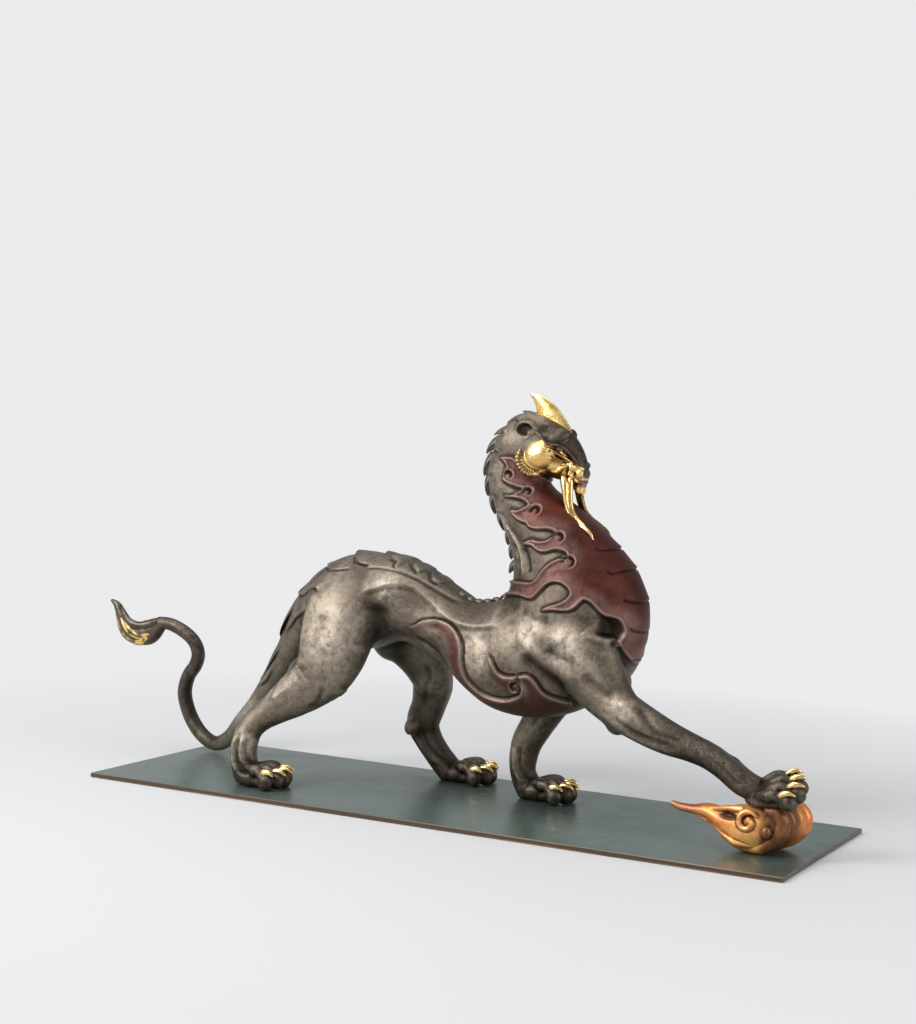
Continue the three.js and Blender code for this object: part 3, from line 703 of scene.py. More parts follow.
def crest(x, z, line, height, fall, soft=False):
    """A crest that is steep on its left, or only bent there, and falls away slowly on its right"""
    signed, share = side_distance(x, z, smooth_rows(line, 4))
    ends = step(share, 0.0, 0.08) * step(-share, -1.0, -0.95)
    rise = step(signed, -3.4, 0.9) if soft else step(signed, -0.6, 0.3)
    shape = rise * np.exp(-np.clip(signed, 0, None) / fall)
    lip = ends * bell(signed, 0.4, 0.7)
    cut = bell(signed, -1.2, 0.8)
    groove = 0.0 if soft else 0.4
    return ends * height * (shape - groove * cut), lip, ends * cut


def spiral(x, z, curl):
    """Height of a curl: a groove that winds inwards and narrows, with a small knob at its heart"""
    cx, cz, radius, turn, way = curl
    rho = np.hypot(x - cx, z - cz) / radius
    angle = np.arctan2(z - cz, x - cx) * way - math.radians(turn) * way
    share = np.mod(angle, 2 * math.pi) / (2 * math.pi)
    track = 0.22 + 0.52 * share
    wide = 0.5 + 0.42 * share
    off = (rho - track) * radius
    groove = bell(off, 0, wide) * step(share, 0.25, 0.55)
    rim = bell(off - 1.0 - wide, 0, 0.7) * step(share, 0.25, 0.5) * step(-share, -0.97, -0.85)
    inside = step(-rho, -1.25, -1.0)
    return inside * (0.9 * rim - 2.8 * groove), inside * groove, rim


print("a mantle edge stands", round(float(relief(np.array(0.75), 2.7, 0.7, 0.5)), 2), "mm proud")

# %% Where the mantle and the ribbons lie
FAR_OUTSIDE = -50     # depth given to places that take no drawing
points = points_of(figure)
x, y, z = points.T
mantle_depth = outline_depth(x, z, smooth_outline(MANTLE))
# Low on the breast the mantle ends where the shoulder meets it.
breast_reach = np.interp(z, [114, 122, 132, 142, 150], [3, 8, 14, 24, 60]) - np.abs(y - MIDDLE)
mantle_depth = np.where(z > 112, np.minimum(mantle_depth, np.maximum(breast_reach, -6)), FAR_OUTSIDE)
# Only the outer side of breast and flank takes the ribbons, not the insides of the legs.
behind_breast = (z > 74) & (x < 106)
on_trunk = (np.abs(y - MIDDLE) > 6) & behind_breast & ~((y > 22) & (z < 92))
far_foreleg = (y > 17) & (z < 101) & (x > 14)
takes_ribbon = (on_trunk | ((z < 90) & behind_breast)) & ~far_foreleg
ribbon_depth = np.max([outline_depth(x, z, smooth_outline(field)) for field in RIBBONS], 0)
ribbon_depth = np.where(takes_ribbon, ribbon_depth, FAR_OUTSIDE)
print("mantle points", int((mantle_depth > 0).sum()), "ribbon points", int((ribbon_depth > 0).sum()))

# %% Lift of mantle, crests and curls
CREST_HEIGHT = 3.2
CREST_FALL = 4.5
lift = relief(mantle_depth, 2.7, 0.7, 0.5) * (1 - 0.5 * step(-z, -148, -134))
crest_lip = np.zeros(len(points))
crest_cut = np.zeros(len(points))
for line in CRESTS:
    rise, lip, cut = crest(x, z, line, CREST_HEIGHT, CREST_FALL)
    lift += np.where(on_trunk, rise, 0)
    crest_lip = np.maximum(crest_lip, np.where(on_trunk, lip, 0))
    crest_cut = np.maximum(crest_cut, np.where(on_trunk, cut, 0))
curl_shade = np.zeros(len(points))
for curl in CURLS:
    rise, dark, rim = spiral(x, z, curl)
    lift += rise
    crest_lip = np.maximum(crest_lip, rim)
    curl_shade = np.maximum(curl_shade, dark)
print("highest lift so far", round(float(lift.max()), 2), "mm")

# %% [markdown]
# Five broad scutes cross the breast like the plates of a lobster's tail: each one overlaps the next
# below it. The back carries a band with a sharp lower edge, and lines of muscle, rib and tendon are
# pressed in or pulled up along drawn strokes. All of it is drawn on the beast's side and then lifted
# or sunk along the skin's own normals, which keeps the casting in one piece.

# %% Edges of scutes, plates and muscles
# Front edges of the scutes: [x, z] from the mantle's border forwards
SCUTES = [
    [[113.2, 216.5], [114.2, 214], [119, 213.6], [170, 214]],
    [[124.6, 202.5], [125.2, 198.6], [128, 196.6], [133, 198.6], [138, 200.2], [170, 203]],
    [[137.6, 181], [138.4, 178], [141.6, 176.6], [146, 175.6], [180, 176]],
    [[143.6, 157], [145.4, 154.6], [149, 153.6], [180, 153]],
    [[142.6, 132.4], [146, 131], [180, 131]],
]
# Soft edges of muscle and fold, proud on one side: height, fall, points
EDGES = [
    [2.1, 14, [[44, 153], [35, 150.4], [20, 147.8], [8.6, 148], [-1.4, 150], [-11.4, 154.3], [-20, 160.6],
               [-28.6, 167], [-38.6, 173], [-47, 175.2], [-55.7, 175.6], [-64, 174], [-72, 171], [-82, 168]]],
    [1.8, 9, [[-128, 102], [-130, 112], [-130, 124], [-129.6, 134], [-127.6, 150], [-122, 166]]],
    [1.4, 5, [[138, 148.4], [131, 147.8], [125, 148.4], [119.6, 150.4], [116, 153.6]]],
    [1.5, 7, [[-152, 76], [-149.6, 81], [-147.4, 88], [-142, 95.6], [-134, 101], [-129, 106]]],
]
# Sharp edges of the plates where they lie over flank and tail
PLATE_EDGES = [
    [1.1, 8, [[-58, 187.5], [-61.2, 189.3], [-62.5, 192.7], [-70.8, 195.7], [-76.3, 201.1]]],
    [1.1, 8, [[-42, 184], [-44.9, 186.4], [-50, 190.5], [-55.9, 196]]],
    [1.0, 7, [[-24, 176], [-30, 179], [-33, 182.1], [-39, 189]]],
    [1.1, 8, [[-84, 187.6], [-85.3, 189.3], [-93.4, 190.5], [-100.3, 192.3], [-103.3, 199.8]]],
    [1.2, 8, [[-99, 186], [-109.6, 184.7], [-121, 183], [-131, 184.3], [-137, 187]]],
    [0.8, 6, [[-2, 163.5], [-14, 168], [-28, 174.6], [-42, 181], [-56, 185.6], [-72, 187.6], [-86, 186.6]]],
    [1.7, 8, [[-119, 166], [-123, 168.8], [-131, 168], [-139, 165], [-148, 160], [-164, 157]]],
    [1.6, 7, [[-138, 150], [-146, 146], [-154, 142.6], [-160, 139], [-166, 132.6], [-174, 126], [-184, 120]]],
    [1.4, 6, [[-184, 108], [-188, 98], [-194, 88], [-200, 80], [-208, 75]]],
]
# Edges on the neck that start under the tips of the nape plates: [x, z] of each tip
NAPE_EDGES = [
    [38, 318.8], [24.6, 308.6], [13.4, 298.6], [7.4, 283.4], [6.2, 265.4], [10.2, 249.4], [17.2, 235.4],
    [26, 222.4], [30, 211.4], [33, 200.4],
]
# The pocket behind the mantle's border at the shoulder: [x, z]
POCKET = [
    [113, 174.6], [119, 172.6], [126, 168], [134, 165.4], [139, 160], [140.2, 153], [138.4, 148],
    [132, 148.8], [126, 150], [120, 153], [115, 163],
]
POCKET_DEPTH = 5.5
print(len(SCUTES), "scutes and", len(EDGES) + len(PLATE_EDGES) + len(NAPE_EDGES), "edges are drawn")

# %% Strokes of muscle, rib and tendon
# Strokes: height, width, share of the sideways distance that counts, then points x, y from middle, z
STROKES = [
    [-3.0, 8.0, 0.15, [[-66, -35, 162], [-68, -36, 148], [-71, -36, 134], [-77, -34, 118]]],
    [-1.5, 8.0, 0.15, [[-64, -33, 164], [-50, -33, 165], [-34, -33, 159], [-18, -34, 150], [-4, -35, 141]]],
    [1.4, 9.0, 0.15, [[-92, -44, 158], [-96, -47, 136], [-104, -47, 114]]],
    [-1.0, 4.0, 0.15, [[-108, -46, 150], [-112, -47, 132], [-116, -46, 116]]],
    [-5.0, 5.0, 0.15, [[-133.6, -26, 162], [-136, -27, 146], [-137, -29, 128], [-136, -33, 108]]],
    [-1.4, 2.2, 0.2, [[-132, -38, 101], [-141, -42, 95], [-147, -44, 86], [-160, -48, 70]]],
    [-1.2, 1.8, 0.2, [[-98, -44, 100], [-112, -46, 96], [-126, -46, 100]]],
    [-1.3, 2.0, 0.2, [[-104, -46, 92], [-112, -47, 76], [-122, -46, 72]]],
    [1.1, 2.6, 0.2, [[-124, -46, 96], [-140, -48, 84], [-154, -52, 72]]],
    [-1.1, 2.0, 0.15, [[-131, -24, 184], [-115, -28, 184.6], [-100, -30, 187]]],
    [2.0, 1.3, 0.1, [[33, -16, 233], [41, -20, 225], [49, -24, 216.6], [53, -28, 210], [55.6, -30, 203],
                     [57, -31, 195], [57.4, -33, 187]]],
    [-1.6, 1.6, 0.1, [[46, -22, 215], [50, -26, 208], [52, -28, 200], [53, -30, 190]]],
    [-1.7, 2.0, 0.1, [[56, -26, 214], [59.6, -30, 208], [62.4, -33, 201], [64.6, -35, 193]]],
    [1.8, 6.0, 0.15, [[62, -41, 143], [80, -42, 132], [98, -41, 122], [116, -39, 115]]],
    [-2.4, 5.0, 0.15, [[66, -42, 133], [78, -43, 123], [90, -42, 114], [104, -38, 106]]],
    [1.6, 7.0, 0.15, [[68, -41, 152], [86, -42, 147], [106, -42, 146]]],
    [-1.2, 5.0, 0.15, [[62, -41, 166], [72, -42, 160], [88, -43, 158]]],
    [-1.4, 5.0, 0.15, [[86, -41, 139], [100, -42, 133], [114, -42, 128]]],
    [-1.3, 6.0, 0.12, [[50, -40, 160], [55, -42, 144], [62, -42, 129]]],
    [-1.1, 6.0, 0.12, [[28, -38, 145], [32, -40, 132], [38, -40, 120]]],
    [-1.0, 5.0, 0.12, [[14, -36, 143], [16, -38, 130], [22, -38, 114]]],
    [-1.2, 2.6, 0.2, [[-40, -30, 134], [-26, -31, 130], [-12, -32, 120], [-4, -33, 106]]],
    [1.2, 2.4, 0.2, [[-58, -28, 131], [-44, -29, 132], [-28, -30, 127], [-14, -31, 115]]],
    [-1.3, 4.0, 0.25, [[118, -48, 122], [130, -48, 115], [142, -48, 110], [150, -46, 107]]],
    [-1.5, 2.6, 0.25, [[160, -45, 104], [168, -45, 98], [174, -44, 91], [181, -43, 84], [192, -42, 81],
                       [206, -41, 78]]],
    [1.3, 3.4, 0.25, [[148, -46, 104], [158, -46, 100], [167, -45, 90.4], [174, -45, 84]]],
    [-1.6, 2.6, 0.25, [[140, -46, 94], [150, -46, 89], [164, -45, 81.5], [182, -43, 77.4], [200, -42, 74.6]]],
    [1.1, 3.0, 0.25, [[150, -45, 84], [166, -44, 76], [184, -43, 71.5], [202, -42, 68.5]]],
    [-1.3, 1.5, 0.3, [[216, -40, 74], [230, -42, 66], [242, -44, 57], [252, -44, 52]]],
    [1.2, 1.6, 0.3, [[222, -38, 75], [236, -41, 68], [250, -42, 61], [262, -42, 58]]],
    [-1.2, 1.6, 0.3, [[226, -32, 78], [240, -33, 70], [254, -34, 64], [266, -33, 62]]],
    [-1.6, 1.6, 0.3, [[-186, -58, 46], [-187, -60, 34], [-184, -64, 20], [-174, -68, 11]]],
    [1.8, 1.7, 0.3, [[-181, -62, 46], [-183, -64, 30], [-178, -68, 18], [-166, -71, 13]]],
    [-2.0, 1.5, 0.3, [[-177, -63, 48], [-178.6, -65, 32], [-174, -69, 21], [-164, -71, 17], [-154, -70, 18]]],
    [1.6, 1.5, 0.3, [[-173, -62, 44], [-174.4, -65, 30], [-169.6, -68, 22.5], [-159, -68, 20.5]]],
    [-1.5, 1.3, 0.3, [[-169.6, -61, 44], [-170.6, -63, 31], [-165.6, -65, 25], [-156, -65, 23]]],
    [1.7, 2.6, 0.2, [[-103, -45, 75], [-98.5, -45, 77.4], [-95, -44, 81]]],
    [1.5, 2.4, 0.2, [[-98, -45, 82], [-94.9, -45, 84], [-91, -44, 88]]],
    [-1.4, 1.6, 0.3, [[24, 27, 50], [24, 26, 34], [28, 24, 22], [36, 22, 14]]],
    [1.2, 1.6, 0.3, [[29, 26, 48], [30, 26, 34], [34, 23, 23], [43, 21, 18]]],
    [-1.4, 1.6, 0.3, [[36, 26, 50], [36, 26, 36], [40, 24, 26], [49, 22, 21]]],
    [-1.4, 1.6, 0.3, [[-82, 52, 50], [-76, 53, 34], [-67, 54, 20], [-56, 53, 13]]],
    [1.2, 1.6, 0.3, [[-75, 50, 48], [-70, 53, 34], [-61, 54, 23], [-50, 53, 18]]],
    [-1.4, 1.6, 0.3, [[-68, 50, 50], [-64, 53, 36], [-55, 54, 27], [-44, 53, 22]]],
    [-1.4, 2.2, 0.2, [[-58, 32, 108], [-54, 36, 94], [-60, 42, 78], [-66, 46, 66]]],
    [-1.3, 2.2, 0.2, [[74, 18, 104], [62, 20, 90], [52, 22, 76], [46, 24, 62]]],
]


def sides_of(stroke):
    """A stroke on the upper body is drawn on both flanks, one on a leg or a paw only on its own side"""
    start_x, start_y, start_z = stroke[0]
    if start_y < 0 and start_z > 105 and start_x < 116:
        return (-1, 1)
    return (-1,) if start_y < 0 else (1,)


print(sum(len(sides_of(row[3])) for row in STROKES), "strokes, with their mirror images")

# %% Shapes of scute, eye and muzzle
def eye_hollow(points):
    """A shallow hollow on the side of the head, above the brow's rim"""
    away = np.linalg.norm((points - [63.5, MIDDLE, 304.4]) * [1 / 7.5, 0, 1 / 4.6], axis=1)
    return step(-away, -1.0, -0.2) * step(np.abs(points[:, 1] - MIDDLE), 3, 6)


def pull_in_muzzle(points):
    """Mouth and chin stand back behind the tip of the nose"""
    x, y, z = points.T
    limit = np.interp(z, [250, 258, 262, 266, 270, 276], [92.6, 93.6, 94, 94.8, 96.2, 99.5])
    ahead = (x > limit) & (z > 250) & (z < 276) & (x < 110)
    points[ahead, 0] = limit[ahead] + 0.25 * (x[ahead] - limit[ahead])


def scute_lift(x, z, front):
    """The step of one scute: proud above its edge, cut in below it"""
    line = np.array(front)
    edge = np.interp(x, line[:, 0], line[:, 1])
    above = z - edge
    start = line[0, 0]
    proud = np.exp(-np.clip(above, 0, None) / 5) * step(above, -0.3, 0.3) * step(x, start, start + 12)
    cut = bell(above, -0.7, 0.7) * step(x, start - 0.6, start + 1.2)
    return 1.5 * proud - 1.4 * cut, cut


print("the first scute starts at x", SCUTES[0][0][0])

# %% Lift of scutes and edges
normals = normals_of(figure)
aside = np.abs(y - MIDDLE)
flank_side = step(np.abs(normals[:, 1]), 0.05, 0.35)
scute_shade = np.zeros(len(points))
plate_cut = np.zeros(len(points))
edge_lip = np.zeros(len(points))
nape_shade = np.zeros(len(points))
for front in SCUTES:
    rise, cut = scute_lift(x, z, front)
    lift += rise * step(mantle_depth, -1, 1)
    scute_shade = np.maximum(scute_shade, cut * step(mantle_depth, -1, 1))
for height, fall, line in PLATE_EDGES:
    rise, lip, cut = crest(x, z, line, height, fall)
    on_side = step(aside, 3, 7)
    lift += rise * on_side
    edge_lip = np.maximum(edge_lip, lip * on_side)
    plate_cut = np.maximum(plate_cut, cut * on_side)
for height, fall, line in EDGES:
    rise, lip, cut = crest(x, z, line, height, fall, True)
    on_side = flank_side * step(aside, 6, 10)
    lift += rise * on_side
    edge_lip = np.maximum(edge_lip, 0.45 * lip * on_side)
print("plates, scutes and muscle edges are lifted")

# %% Lift of the strokes
for height, width, flat, stroke in STROKES:
    line = np.array(stroke, float)
    line[:, 1] += MIDDLE
    own_side = -1 if stroke[0][1] < 0 else 1
    for side in sides_of(stroke):
        drawn = line if side == own_side else line * [1, -1, 1] + [0, 2 * MIDDLE, 0]
        away, share = distance_to_line(points, smooth_rows(drawn, 4), flat)
        fade = step(share, 0.0, 0.2) * step(-share, -1.0, -0.8)
        same_side = step(side * (y - drawn[:, 1].mean()), -14, -6)
        press = bell(away, 0, width)
        lift += height * press * fade * same_side
        if height > 1.5 and width < 1.4:
            edge_lip = np.maximum(edge_lip, press * fade * same_side)
print("strokes are pressed in or pulled up")

# %% Nape edges and pocket
# Below each nape plate a wavy edge runs forward over the side of the neck.
for tip_x, tip_z in NAPE_EDGES:
    line = [[tip_x + 17, tip_z + 2], [tip_x + 13, tip_z + 4], [tip_x + 8, tip_z + 3.4],
            [tip_x + 4, tip_z + 1], [tip_x, tip_z - 2]]
    rise, lip, cut = crest(x, z, line, 0.9, 3.5)
    lift += rise * step(aside, 3, 6)
    nape_shade = np.maximum(nape_shade, cut)
pocket_depth = outline_depth(x, z, smooth_outline(POCKET))
pocket = step(pocket_depth, -0.4, 5.0) * step(x, 122, 134) * step(aside, 14, 20)
lift -= POCKET_DEPTH * pocket
points = points + normals * lift[:, None]
print("the skin moves by", round(float(lift.min()), 1), "to", round(float(lift.max()), 1), "mm")

# %% Ear, eye and muzzle
ear_shade = np.zeros(len(points))
for side in (-1, 1):
    ear = np.linalg.norm((points - [48.2, MIDDLE + side * 20, 304.2]) / [9.2, 12, 6.4], axis=1)
    nub = np.linalg.norm((points - [51.8, MIDDLE + side * 18, 302.6]) / [3.6, 12, 3.4], axis=1)
    knob = step(-nub, -1.0, -0.3)
    points[:, 1] -= side * (5.2 * step(-ear, -1.0, -0.35) - 2.6 * knob)
    ear_shade = np.maximum(ear_shade, 0.5 * step(-ear, -1.0, -0.4) * (1 - 0.6 * knob))
points[:, 1] -= np.sign(points[:, 1] - MIDDLE) * 1.5 * eye_hollow(points)
pull_in_muzzle(points)
# The muzzle's skin stands back under the gilded face that covers it.
under_face = step(points[:, 0], 76, 80) * step(points[:, 2], 250, 254) * step(-points[:, 2], -290, -284)
points[:, 1] -= np.clip(points[:, 1] - MIDDLE, -2.2, 2.2) * under_face * (points[:, 0] < 110)
move(figure, points)
soften(figure, 1)
print("ear, eye and muzzle are shaped")

# %% Masks of the mantle, its pale rims and the painted shade in its grooves
soft_edge = step(ribbon_depth, -0.5, 5.0)
crest_red = crest_lip * step(ribbon_depth, -2, 0)
# Raised lips, crests and curl rims are painted pale: partly rubbed bronze and partly painted highlight.
rubbed_and_highlit_rims = [bell(mantle_depth, 0.7, 0.7), crest_lip, 0.6 * edge_lip]
# Cuts, grooves, curl hollows, the ear's hollow and the shoulder pocket are painted dark as painted shade.
painted_shade_parts = [
    0.7 * plate_cut, 0.6 * bell(mantle_depth, -1.1, 0.7), 0.85 * curl_shade, 0.75 * crest_cut, scute_shade,
    0.6 * nape_shade, ear_shade, 0.75 * pocket * step(x, 123, 136),
]
write(figure, "red", np.max([step(mantle_depth, -0.4, 0.4), soft_edge, crest_red], 0))
write(figure, "deep", np.maximum(step(mantle_depth, 2, 12), 0.6 * soft_edge))
write(figure, "lip", np.max(rubbed_and_highlit_rims, 0))
write(figure, "line", np.max(painted_shade_parts, 0))
print("masks: red, deep, lip and line")

# %% Fewer triangles where the skin is plain
LIMIT = 190000       # triangles that the figure is thinned to; triangles, a little below what a piece may have
thin = figure.modifiers.new("thin", "DECIMATE")
thin.ratio = min(1.0, LIMIT / (2.0 * len(figure.data.polygons)))
baked(figure)
print("figure", sum(len(p.vertices) - 2 for p in figure.data.polygons), "triangles")

# %% [markdown]
# The horn is a gilded blade that rises from the crown and sweeps back to a point. It is lofted as
# thin ovals between its rear and front edges, and small teeth are then notched into its front edge.

# %% Horn
# [rear x, rear z, front x, front z, half thickness]
HORN = [
    [51.5, 309, 79.5, 299, 3.2], [50.6, 313, 81.5, 304.2, 3.1], [50.2, 318, 77.9, 311, 2.8],
    [49.5, 322, 73.2, 317.3, 2.5], [48, 325.4, 67.2, 323.3, 2.1], [46.4, 328.2, 60.2, 328.4, 1.7],
    [44.9, 330.2, 53.2, 331.9, 1.2], [43.3, 331.8, 46.4, 333.0, 0.6],
]


def blade(rows):
    """Thin ovals from edge to edge"""
    c, s = circle(28)
    rings = []
    for rear_x, rear_z, front_x, front_z, thick in smooth_rows(rows, 5):
        mid = np.array([(rear_x + front_x) / 2, MIDDLE, (rear_z + front_z) / 2])
        half = np.array([(front_x - rear_x) / 2, 0, (front_z - rear_z) / 2])
        lens = np.sign(s) * np.abs(s) ** 1.2
        rings.append(mid + c[:, None] * half + thick * lens[:, None] * np.array([0, 1.0, 0]))
    return skin(np.array(rings))


FINE_GRAIN = 0.5
horn = clay("pixiu_horn", [blade(HORN)], FINE_GRAIN)
soften(horn, 2)

# %% Teeth on the horn
HORN_EDGE = [[81.5, 303], [78.4, 310.4], [73.6, 317], [67.4, 323]]
TEETH = 13
points = points_of(horn)
signed, share = side_distance(points[:, 0], points[:, 2], HORN_EDGE)
tooth = step(-np.abs(signed), -2.6, -0.6) * step(-share, -0.98, -0.8) * step(share, 0.0, 0.05)
notch = tooth * (0.5 + 0.5 * np.cos(share * 2 * math.pi * TEETH))
move(horn, points - normals_of(horn) * (0.5 * notch)[:, None])
# The toothed edge is painted darker, and its notches darker still as painted shade
write(horn, "deep", np.maximum(0.35 * tooth, 0.9 * notch))
print("horn has", TEETH, "teeth")

# %% [markdown]
# What repeats is placed by a small node tree: one template, a row of points, and at each point the
# turn and the size of that copy. The plates down the spine, the hooks on the saddle and the sixteen
# claws all come from it, so one better template makes every copy better.

# %% Placing copies along a path
def rotation_of(along, up):
    """Euler turn that lays +X of a template along one direction and +Z near another"""
    a = Vector(along).normalized()
    side = Vector(up).cross(a).normalized()
    top = a.cross(side)
    return Matrix((a, side, top)).transposed().to_euler()


def copying_tree(name):
    """A tree that sets the template on every point, by the point's own turn and span"""
    tree = bpy.data.node_groups.new(name + "_nodes", "GeometryNodeTree")
    add_socket = tree.interface.new_socket
    add_socket("Geometry", in_out="INPUT", socket_type="NodeSocketGeometry")
    add_socket("Template", in_out="INPUT", socket_type="NodeSocketObject")
    add_socket("Size", in_out="INPUT", socket_type="NodeSocketFloat")
    add_socket("Finish", in_out="INPUT", socket_type="NodeSocketMaterial")
    add_socket("Geometry", in_out="OUTPUT", socket_type="NodeSocketGeometry")

    def node(kind, operation=None):
        made = tree.nodes.new(kind)
        if operation:
            made.operation = operation
        return made

    def named(attribute):
        made = node("GeometryNodeInputNamedAttribute")
        made.data_type = "FLOAT_VECTOR"
        made.inputs["Name"].default_value = attribute
        return made.outputs["Attribute"]

    start = node("NodeGroupInput").outputs
    shape = node("GeometryNodeObjectInfo")
    euler = node("FunctionNodeEulerToRotation")
    grow = node("ShaderNodeVectorMath", "SCALE")
    place = node("GeometryNodeInstanceOnPoints")
    real = node("GeometryNodeRealizeInstances")
    coat = node("GeometryNodeSetMaterial")
    finish = node("NodeGroupOutput")
    link = tree.links.new
    link(start["Template"], shape.inputs["Object"])
    link(named("turn"), euler.inputs["Euler"])
    link(named("span"), grow.inputs[0])
    link(start["Size"], grow.inputs["Scale"])
    link(start["Geometry"], place.inputs["Points"])
    link(shape.outputs["Geometry"], place.inputs["Instance"])
    link(euler.outputs["Rotation"], place.inputs["Rotation"])
    link(grow.outputs["Vector"], place.inputs["Scale"])
    link(place.outputs["Instances"], real.inputs["Geometry"])
    link(real.outputs["Geometry"], coat.inputs["Geometry"])
    link(start["Finish"], coat.inputs["Material"])
    link(coat.outputs["Geometry"], finish.inputs["Geometry"])
    return tree


def copies(name, template, rows):
    """Rows of (place, along, up, length, width, height) become copies of the template"""
    spots = bpy.data.meshes.new(name + "_spots")
    spots.from_pydata([tuple(np.array(row[0]) * MM) for row in rows], [], [])
    turns = spots.attributes.new("turn", "FLOAT_VECTOR", "POINT")
    scales = spots.attributes.new("span", "FLOAT_VECTOR", "POINT")
    for i, row in enumerate(rows):
        turns.data[i].vector = rotation_of(row[1], row[2])
        scales.data[i].vector = (row[3], row[4], row[5])
    thing = bpy.data.objects.new(name, spots)
    bpy.context.scene.collection.objects.link(thing)
    tree = copying_tree(name)
    grower = thing.modifiers.new("copies", "NODES")
    grower.node_group = tree
    ids = {item.name: item.identifier for item in tree.interface.items_tree if item.in_out == "INPUT"}
    grower[ids["Template"]] = template
    grower[ids["Size"]] = MM
    grower[ids["Finish"]] = bpy.data.materials.new(name + "_first")
    baked(thing)
    print(name, len(rows), "copies,", len(thing.data.polygons), "faces")
    return thing


def template_from(name, part):
    """A template one millimetre to the unit, kept out of the scene"""
    mesh = bpy.data.meshes.new(name)
    mesh.from_pydata(np.asarray(part[0]).tolist(), [], part[1])
    return bpy.data.objects.new(name, mesh)


print("copies can be placed")

# %% One scale
# A scale is a pointed leaf one unit long. Its outer face is an arch from root to tip, and its inner
# face runs up to a thin sharp tip. `droop` bends its sides down so that it lies over a round back.
LEAF_SIDES = 16
LEAF_ROWS = 14


def leaf(arch, body, droop):
    c, s = circle(LEAF_SIDES)
    rings = []
    for i in range(LEAF_ROWS):
        t = i / (LEAF_ROWS - 1)
        half = 0.5 * (0.80 + 0.45 * t) * (1 - t ** 3.0) ** 0.9 + 0.010
        outer = arch * math.sin(math.pi * t ** 0.85)
        thick = body * (1 - t) ** 1.35 + 0.018
        middle = outer - thick
        across = half * c
        rise = np.where(s > 0, thick * np.abs(s) ** 1.3, -thick * np.abs(s))
        rings.append(np.stack([np.full(LEAF_SIDES, t), across, middle + rise - droop * across ** 2], 1))
    return skin(np.array(rings))


print("a scale has", len(leaf(0.2, 0.4, 1.0)[0]), "points")

# %% Plates down nape, back and tail
# Tips on the nape: [x, z, width]
NAPE = [
    [50, 318.6, 9], [38.0, 318.8, 12], [24.6, 308.6, 15], [13.4, 298.6, 15], [7.4, 283.4, 16],
    [6.2, 265.4, 17], [10.2, 249.4, 17], [17.2, 235.4, 17], [26, 222.4, 16], [30, 211.4, 15],
    [33, 200.4, 15], [32, 189.2, 15],
]
# Tips on the back: [x, height above the back, width]
BACK = [
    [-6, 0, 12], [-20, 1.4, 20], [-36, 1.8, 28], [-56, 2.4, 38], [-80, 2.8, 46], [-108, 3.0, 48],
    [-137, 2.0, 38],
]
# Tips on the tail: [x, y, z, width]
TAIL_TIPS = [
    [-132, 3, 185, 28], [-166, 4, 158.4, 27], [-186, 9, 119, 23], [-209.5, 20, 75, 18], [-231, 29, 48, 13],
]


def back_height(x_place):
    rows = smooth_rows(TRUNK, 8)
    return float(np.interp(x_place, rows[:, 0], rows[:, 1]))


def scale_between(start, tip, width, height, sink):
    """A scale from one tip to the next: its root sunk in the body, its keel turned outwards"""
    a = np.array(start, float)
    b = np.array(tip, float)
    along = unit(b - a)
    outward = unit(np.cross(along, [0, 1.0, 0]))
    if outward @ np.array([-1.0, 0, 1.4]) < 0:
        outward = -outward
    root = a - along * 2.5 - outward * sink
    return root, b - root, outward, np.linalg.norm(b - root), width, height


nape_rows = [scale_between([ax, MIDDLE, az], [bx, MIDDLE, bz], width, 12.0, 4.4)
             for (ax, az, _), (bx, bz, width) in zip(NAPE, NAPE[1:])]
tail_rows = [scale_between(a[:3], b[:3], b[3], 9.0, 3.0) for a, b in zip(TAIL_TIPS, TAIL_TIPS[1:])]
back_rows = []
for (ax, a_rise, _), (bx, b_rise, width) in zip(BACK, BACK[1:]):
    start = [ax, MIDDLE, back_height(ax) + a_rise]
    back_rows.append(scale_between(start, [bx, MIDDLE, back_height(bx) + b_rise], width,
                                   5 + 5 * (width / 48) ** 2, 3.2))
nape_leaf = template_from("nape_leaf", leaf(0.20, 0.42, 0.9))
back_leaf = template_from("back_leaf", leaf(0.08, 0.24, 3.5))
tail_leaf = template_from("tail_leaf", leaf(0.22, 0.42, 1.5))
nape_plates = copies("pixiu_nape_plates", nape_leaf, nape_rows)
back_plates = copies("pixiu_back_plates", back_leaf, back_rows)
tail_plates = copies("pixiu_tail_plates", tail_leaf, tail_rows)

# %% Hooks on the saddle
# A hook is a low breaking wave: one unit long, fat at its root, with its tip curled back.
HOOK_ROWS = 9


def hook():
    path = []
    for i in range(HOOK_ROWS):
        turn = math.radians(-15 + 165 * i / (HOOK_ROWS - 1))
        reach = 0.62 - 0.30 * i / (HOOK_ROWS - 1)
        taper = (i / (HOOK_ROWS - 1)) ** 1.5
        path.append([0.45 - reach * math.cos(turn), 0, reach * math.sin(turn), 0.34 - 0.27 * taper,
                     0.50 - 0.34 * taper])
    return limb(path, 1, 12, 0.02)


hook_template = template_from("hook", hook())
HOOK_SPACING = 8.0
HOOK_COUNT = 6
hook_rows = []
for i in range(HOOK_COUNT):
    x_place = 32 - i * HOOK_SPACING
    root = [x_place, MIDDLE, back_height(x_place) - 2.9]
    hook_rows.append((root, (-1, 0, -0.02), (0, 0, 1), 8.6, 10.0, 7.6))
hooks = copies("pixiu_hooks", hook_template, hook_rows)

# %% Claws
# A claw is a thick beak of a nail that rides on top of its toe and bends down over the toe's end.
def claw():
    path = [
        [-3, 0, -2.0, 2.2, 2.4], [-0.5, 0, -0.2, 3.3, 3.0], [3.2, 0, 0.6, 3.5, 3.0], [6.8, 0, 0.4, 2.7, 2.4],
        [9.8, 0, -0.9, 1.6, 1.5], [12.0, 0, -3.0, 0.45, 0.45],
    ]
    return limb(path, 2, 12, 0.6)


